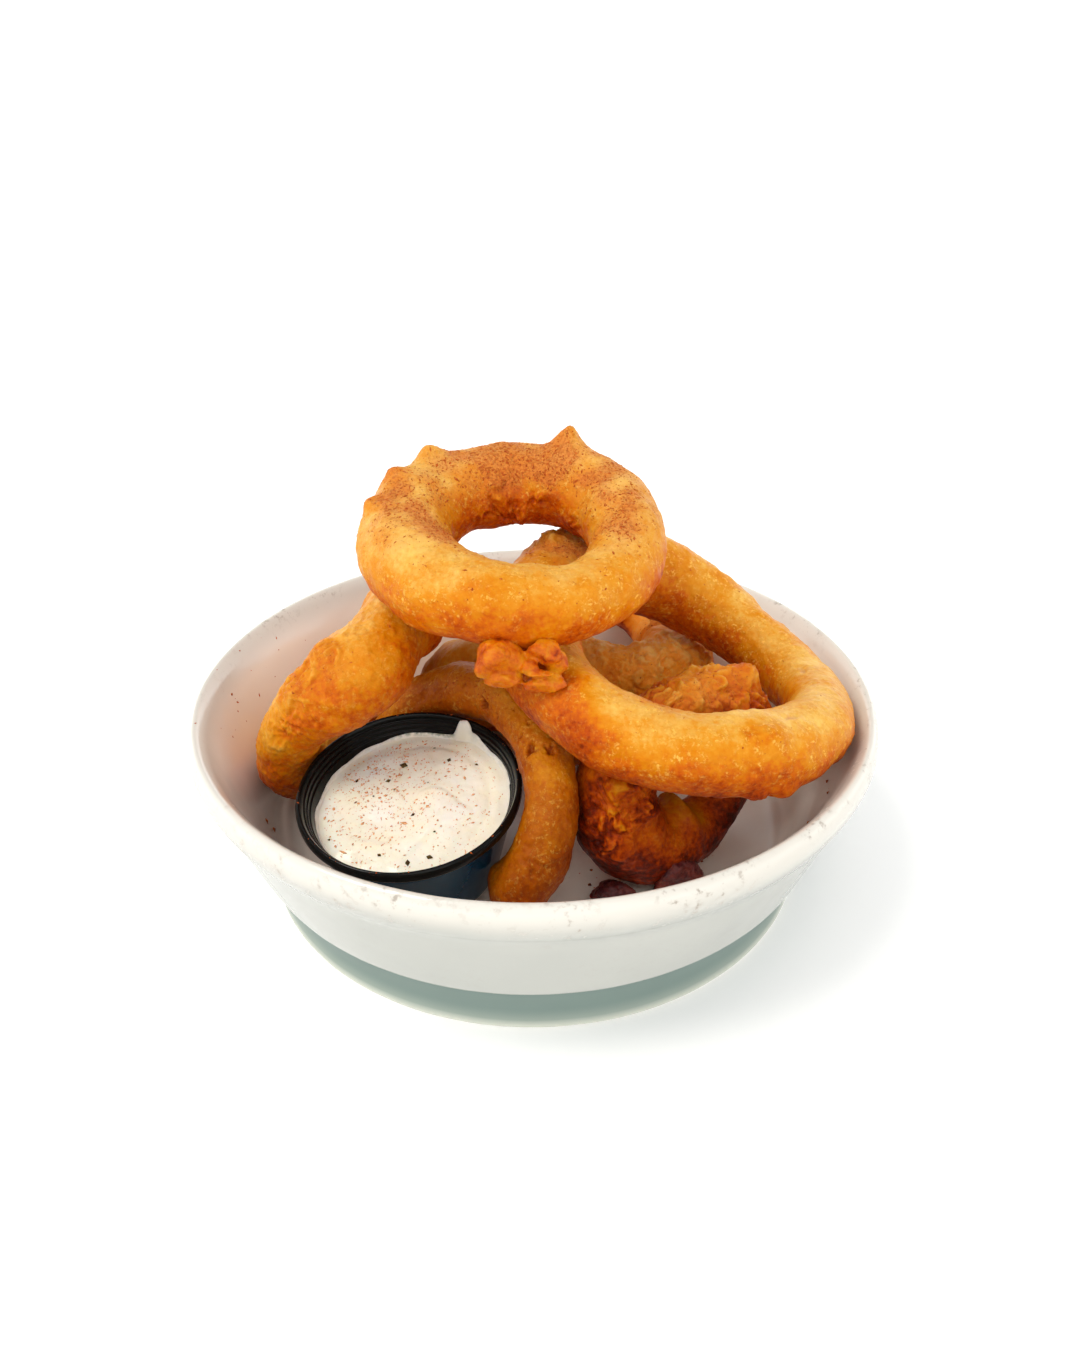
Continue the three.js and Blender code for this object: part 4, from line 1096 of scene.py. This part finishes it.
# %% Studio
def white_sheet():
    """Matt white board that glows by `wall`, which is highest far out, where the sheet starts to rise."""
    material, tree, shader, place = start_material("white_sheet", Roughness=0.9)
    clouds = add(tree, "TexNoise", Vector=place, Scale=1 / (300 * MM), Detail=1.0)
    tone = add(tree, "ValToRGB", Fac=clouds, stops=[(0.0, "#F6F6F5"), (1.0, "#F9F9F8")])
    tree.links.new(tone, shader.inputs["Base Color"])
    wall = add(tree, "Attribute", "Fac", attribute_name="wall")
    tree.links.new(wall, shader.inputs["Emission Strength"])
    shader.inputs["Emission Color"].default_value = linear("#FFFFFF")
    return material


FLOOR_FLAT, WALL_BEND = 1.3, 1.1  # metres of flat floor, and the radius of the bend
FLAT_ROWS, BEND_ROWS, FLOOR_COLUMNS = 16, 18, 96
FLOOR_GLOW, WALL_GLOW = 0.1, 0.9
bend = np.linspace(0.08, math.pi / 2, BEND_ROWS)
flat = np.linspace(0.02, FLOOR_FLAT, FLAT_ROWS)
sweep_radius = np.concatenate([flat, FLOOR_FLAT + WALL_BEND * np.sin(bend)])
sweep_level = np.concatenate([0 * flat, WALL_BEND * (1 - np.cos(bend))])
angle = np.linspace(0, 2 * math.pi, FLOOR_COLUMNS, endpoint=False)
rows = round_the_axis(sweep_radius[:, None], angle, sweep_level[:, None] + 0 * angle)
floor_points = np.concatenate([rows.reshape(-1, 3), [[0, 0, 0]]])
floor_faces = (grid_faces(len(sweep_radius), FLOOR_COLUMNS).tolist()
               + fan_faces(len(floor_points) - 1, 0, FLOOR_COLUMNS).tolist())
floor_mesh = bpy.data.meshes.new("floor")
floor_mesh.from_pydata(floor_points, [], floor_faces)
floor_mesh.polygons.foreach_set("use_smooth", np.ones(len(floor_mesh.polygons), bool))
glow = floor_mesh.attributes.new("wall", "FLOAT", "POINT")
reach = np.hypot(floor_points[:, 0], floor_points[:, 1])
share = FLOOR_GLOW + WALL_GLOW * smooth_step(1.1, 1.9, reach) * smooth_step(0.8, 0.3, floor_points[:, 2])
glow.data.foreach_set("value", share.astype(np.float32))
floor_mesh.materials.append(white_sheet())
floor = bpy.data.objects.new("floor", floor_mesh)
bpy.context.scene.collection.objects.link(floor)

# %% Lights
# each light has the way toward it, its strength and its width in degrees
LIGHTS = {"key": ((-0.5, -0.16, 0.86), 1.45, 24), "fill": ((0.12, -0.75, 0.65), 0.5, 40)}
world = bpy.data.worlds.new("pale_room")
world.use_nodes = True
background = world.node_tree.nodes["Background"]
background.inputs["Color"].default_value = linear("#FAFCFF")
background.inputs["Strength"].default_value = 0.74
bpy.context.scene.world = world
bpy.context.scene.view_settings.view_transform = "Standard"
for name, (toward, strength, width) in LIGHTS.items():
    light = bpy.data.lights.new(name, "SUN")
    light.energy, light.angle, light.color = strength, math.radians(width), linear("#FFFBF4")[:3]
    holder = bpy.data.objects.new(name, light)
    holder.rotation_euler = Vector(toward).to_track_quat("Z", "Y").to_euler()
    bpy.context.scene.collection.objects.link(holder)
print("lights:", ", ".join(LIGHTS))

# %% Camera
CAMERA_AIM, CAMERA_DISTANCE = (2.1, 0, 57.1), 299.0  # mm
CAMERA_ELEVATION, CAMERA_ROLL = 29.91, -0.44  # degrees
camera_data = bpy.data.cameras.new("camera")
camera_data.lens, camera_data.sensor_width, camera_data.clip_start = 26.667, 36.0, 0.01
camera = bpy.data.objects.new("camera", camera_data)
raised = math.radians(CAMERA_ELEVATION)
aim = Vector(CAMERA_AIM) * MM
camera.location = aim + Vector((0, -math.cos(raised), math.sin(raised))) * CAMERA_DISTANCE * MM
facing = (aim - camera.location).to_track_quat("-Z", "Y").to_matrix()
camera.rotation_euler = (facing @ Matrix.Rotation(math.radians(CAMERA_ROLL), 3, "Z")).to_euler()
bpy.context.scene.collection.objects.link(camera)
bpy.context.scene.camera = camera
print("camera at", [round(v, 4) for v in camera.location])
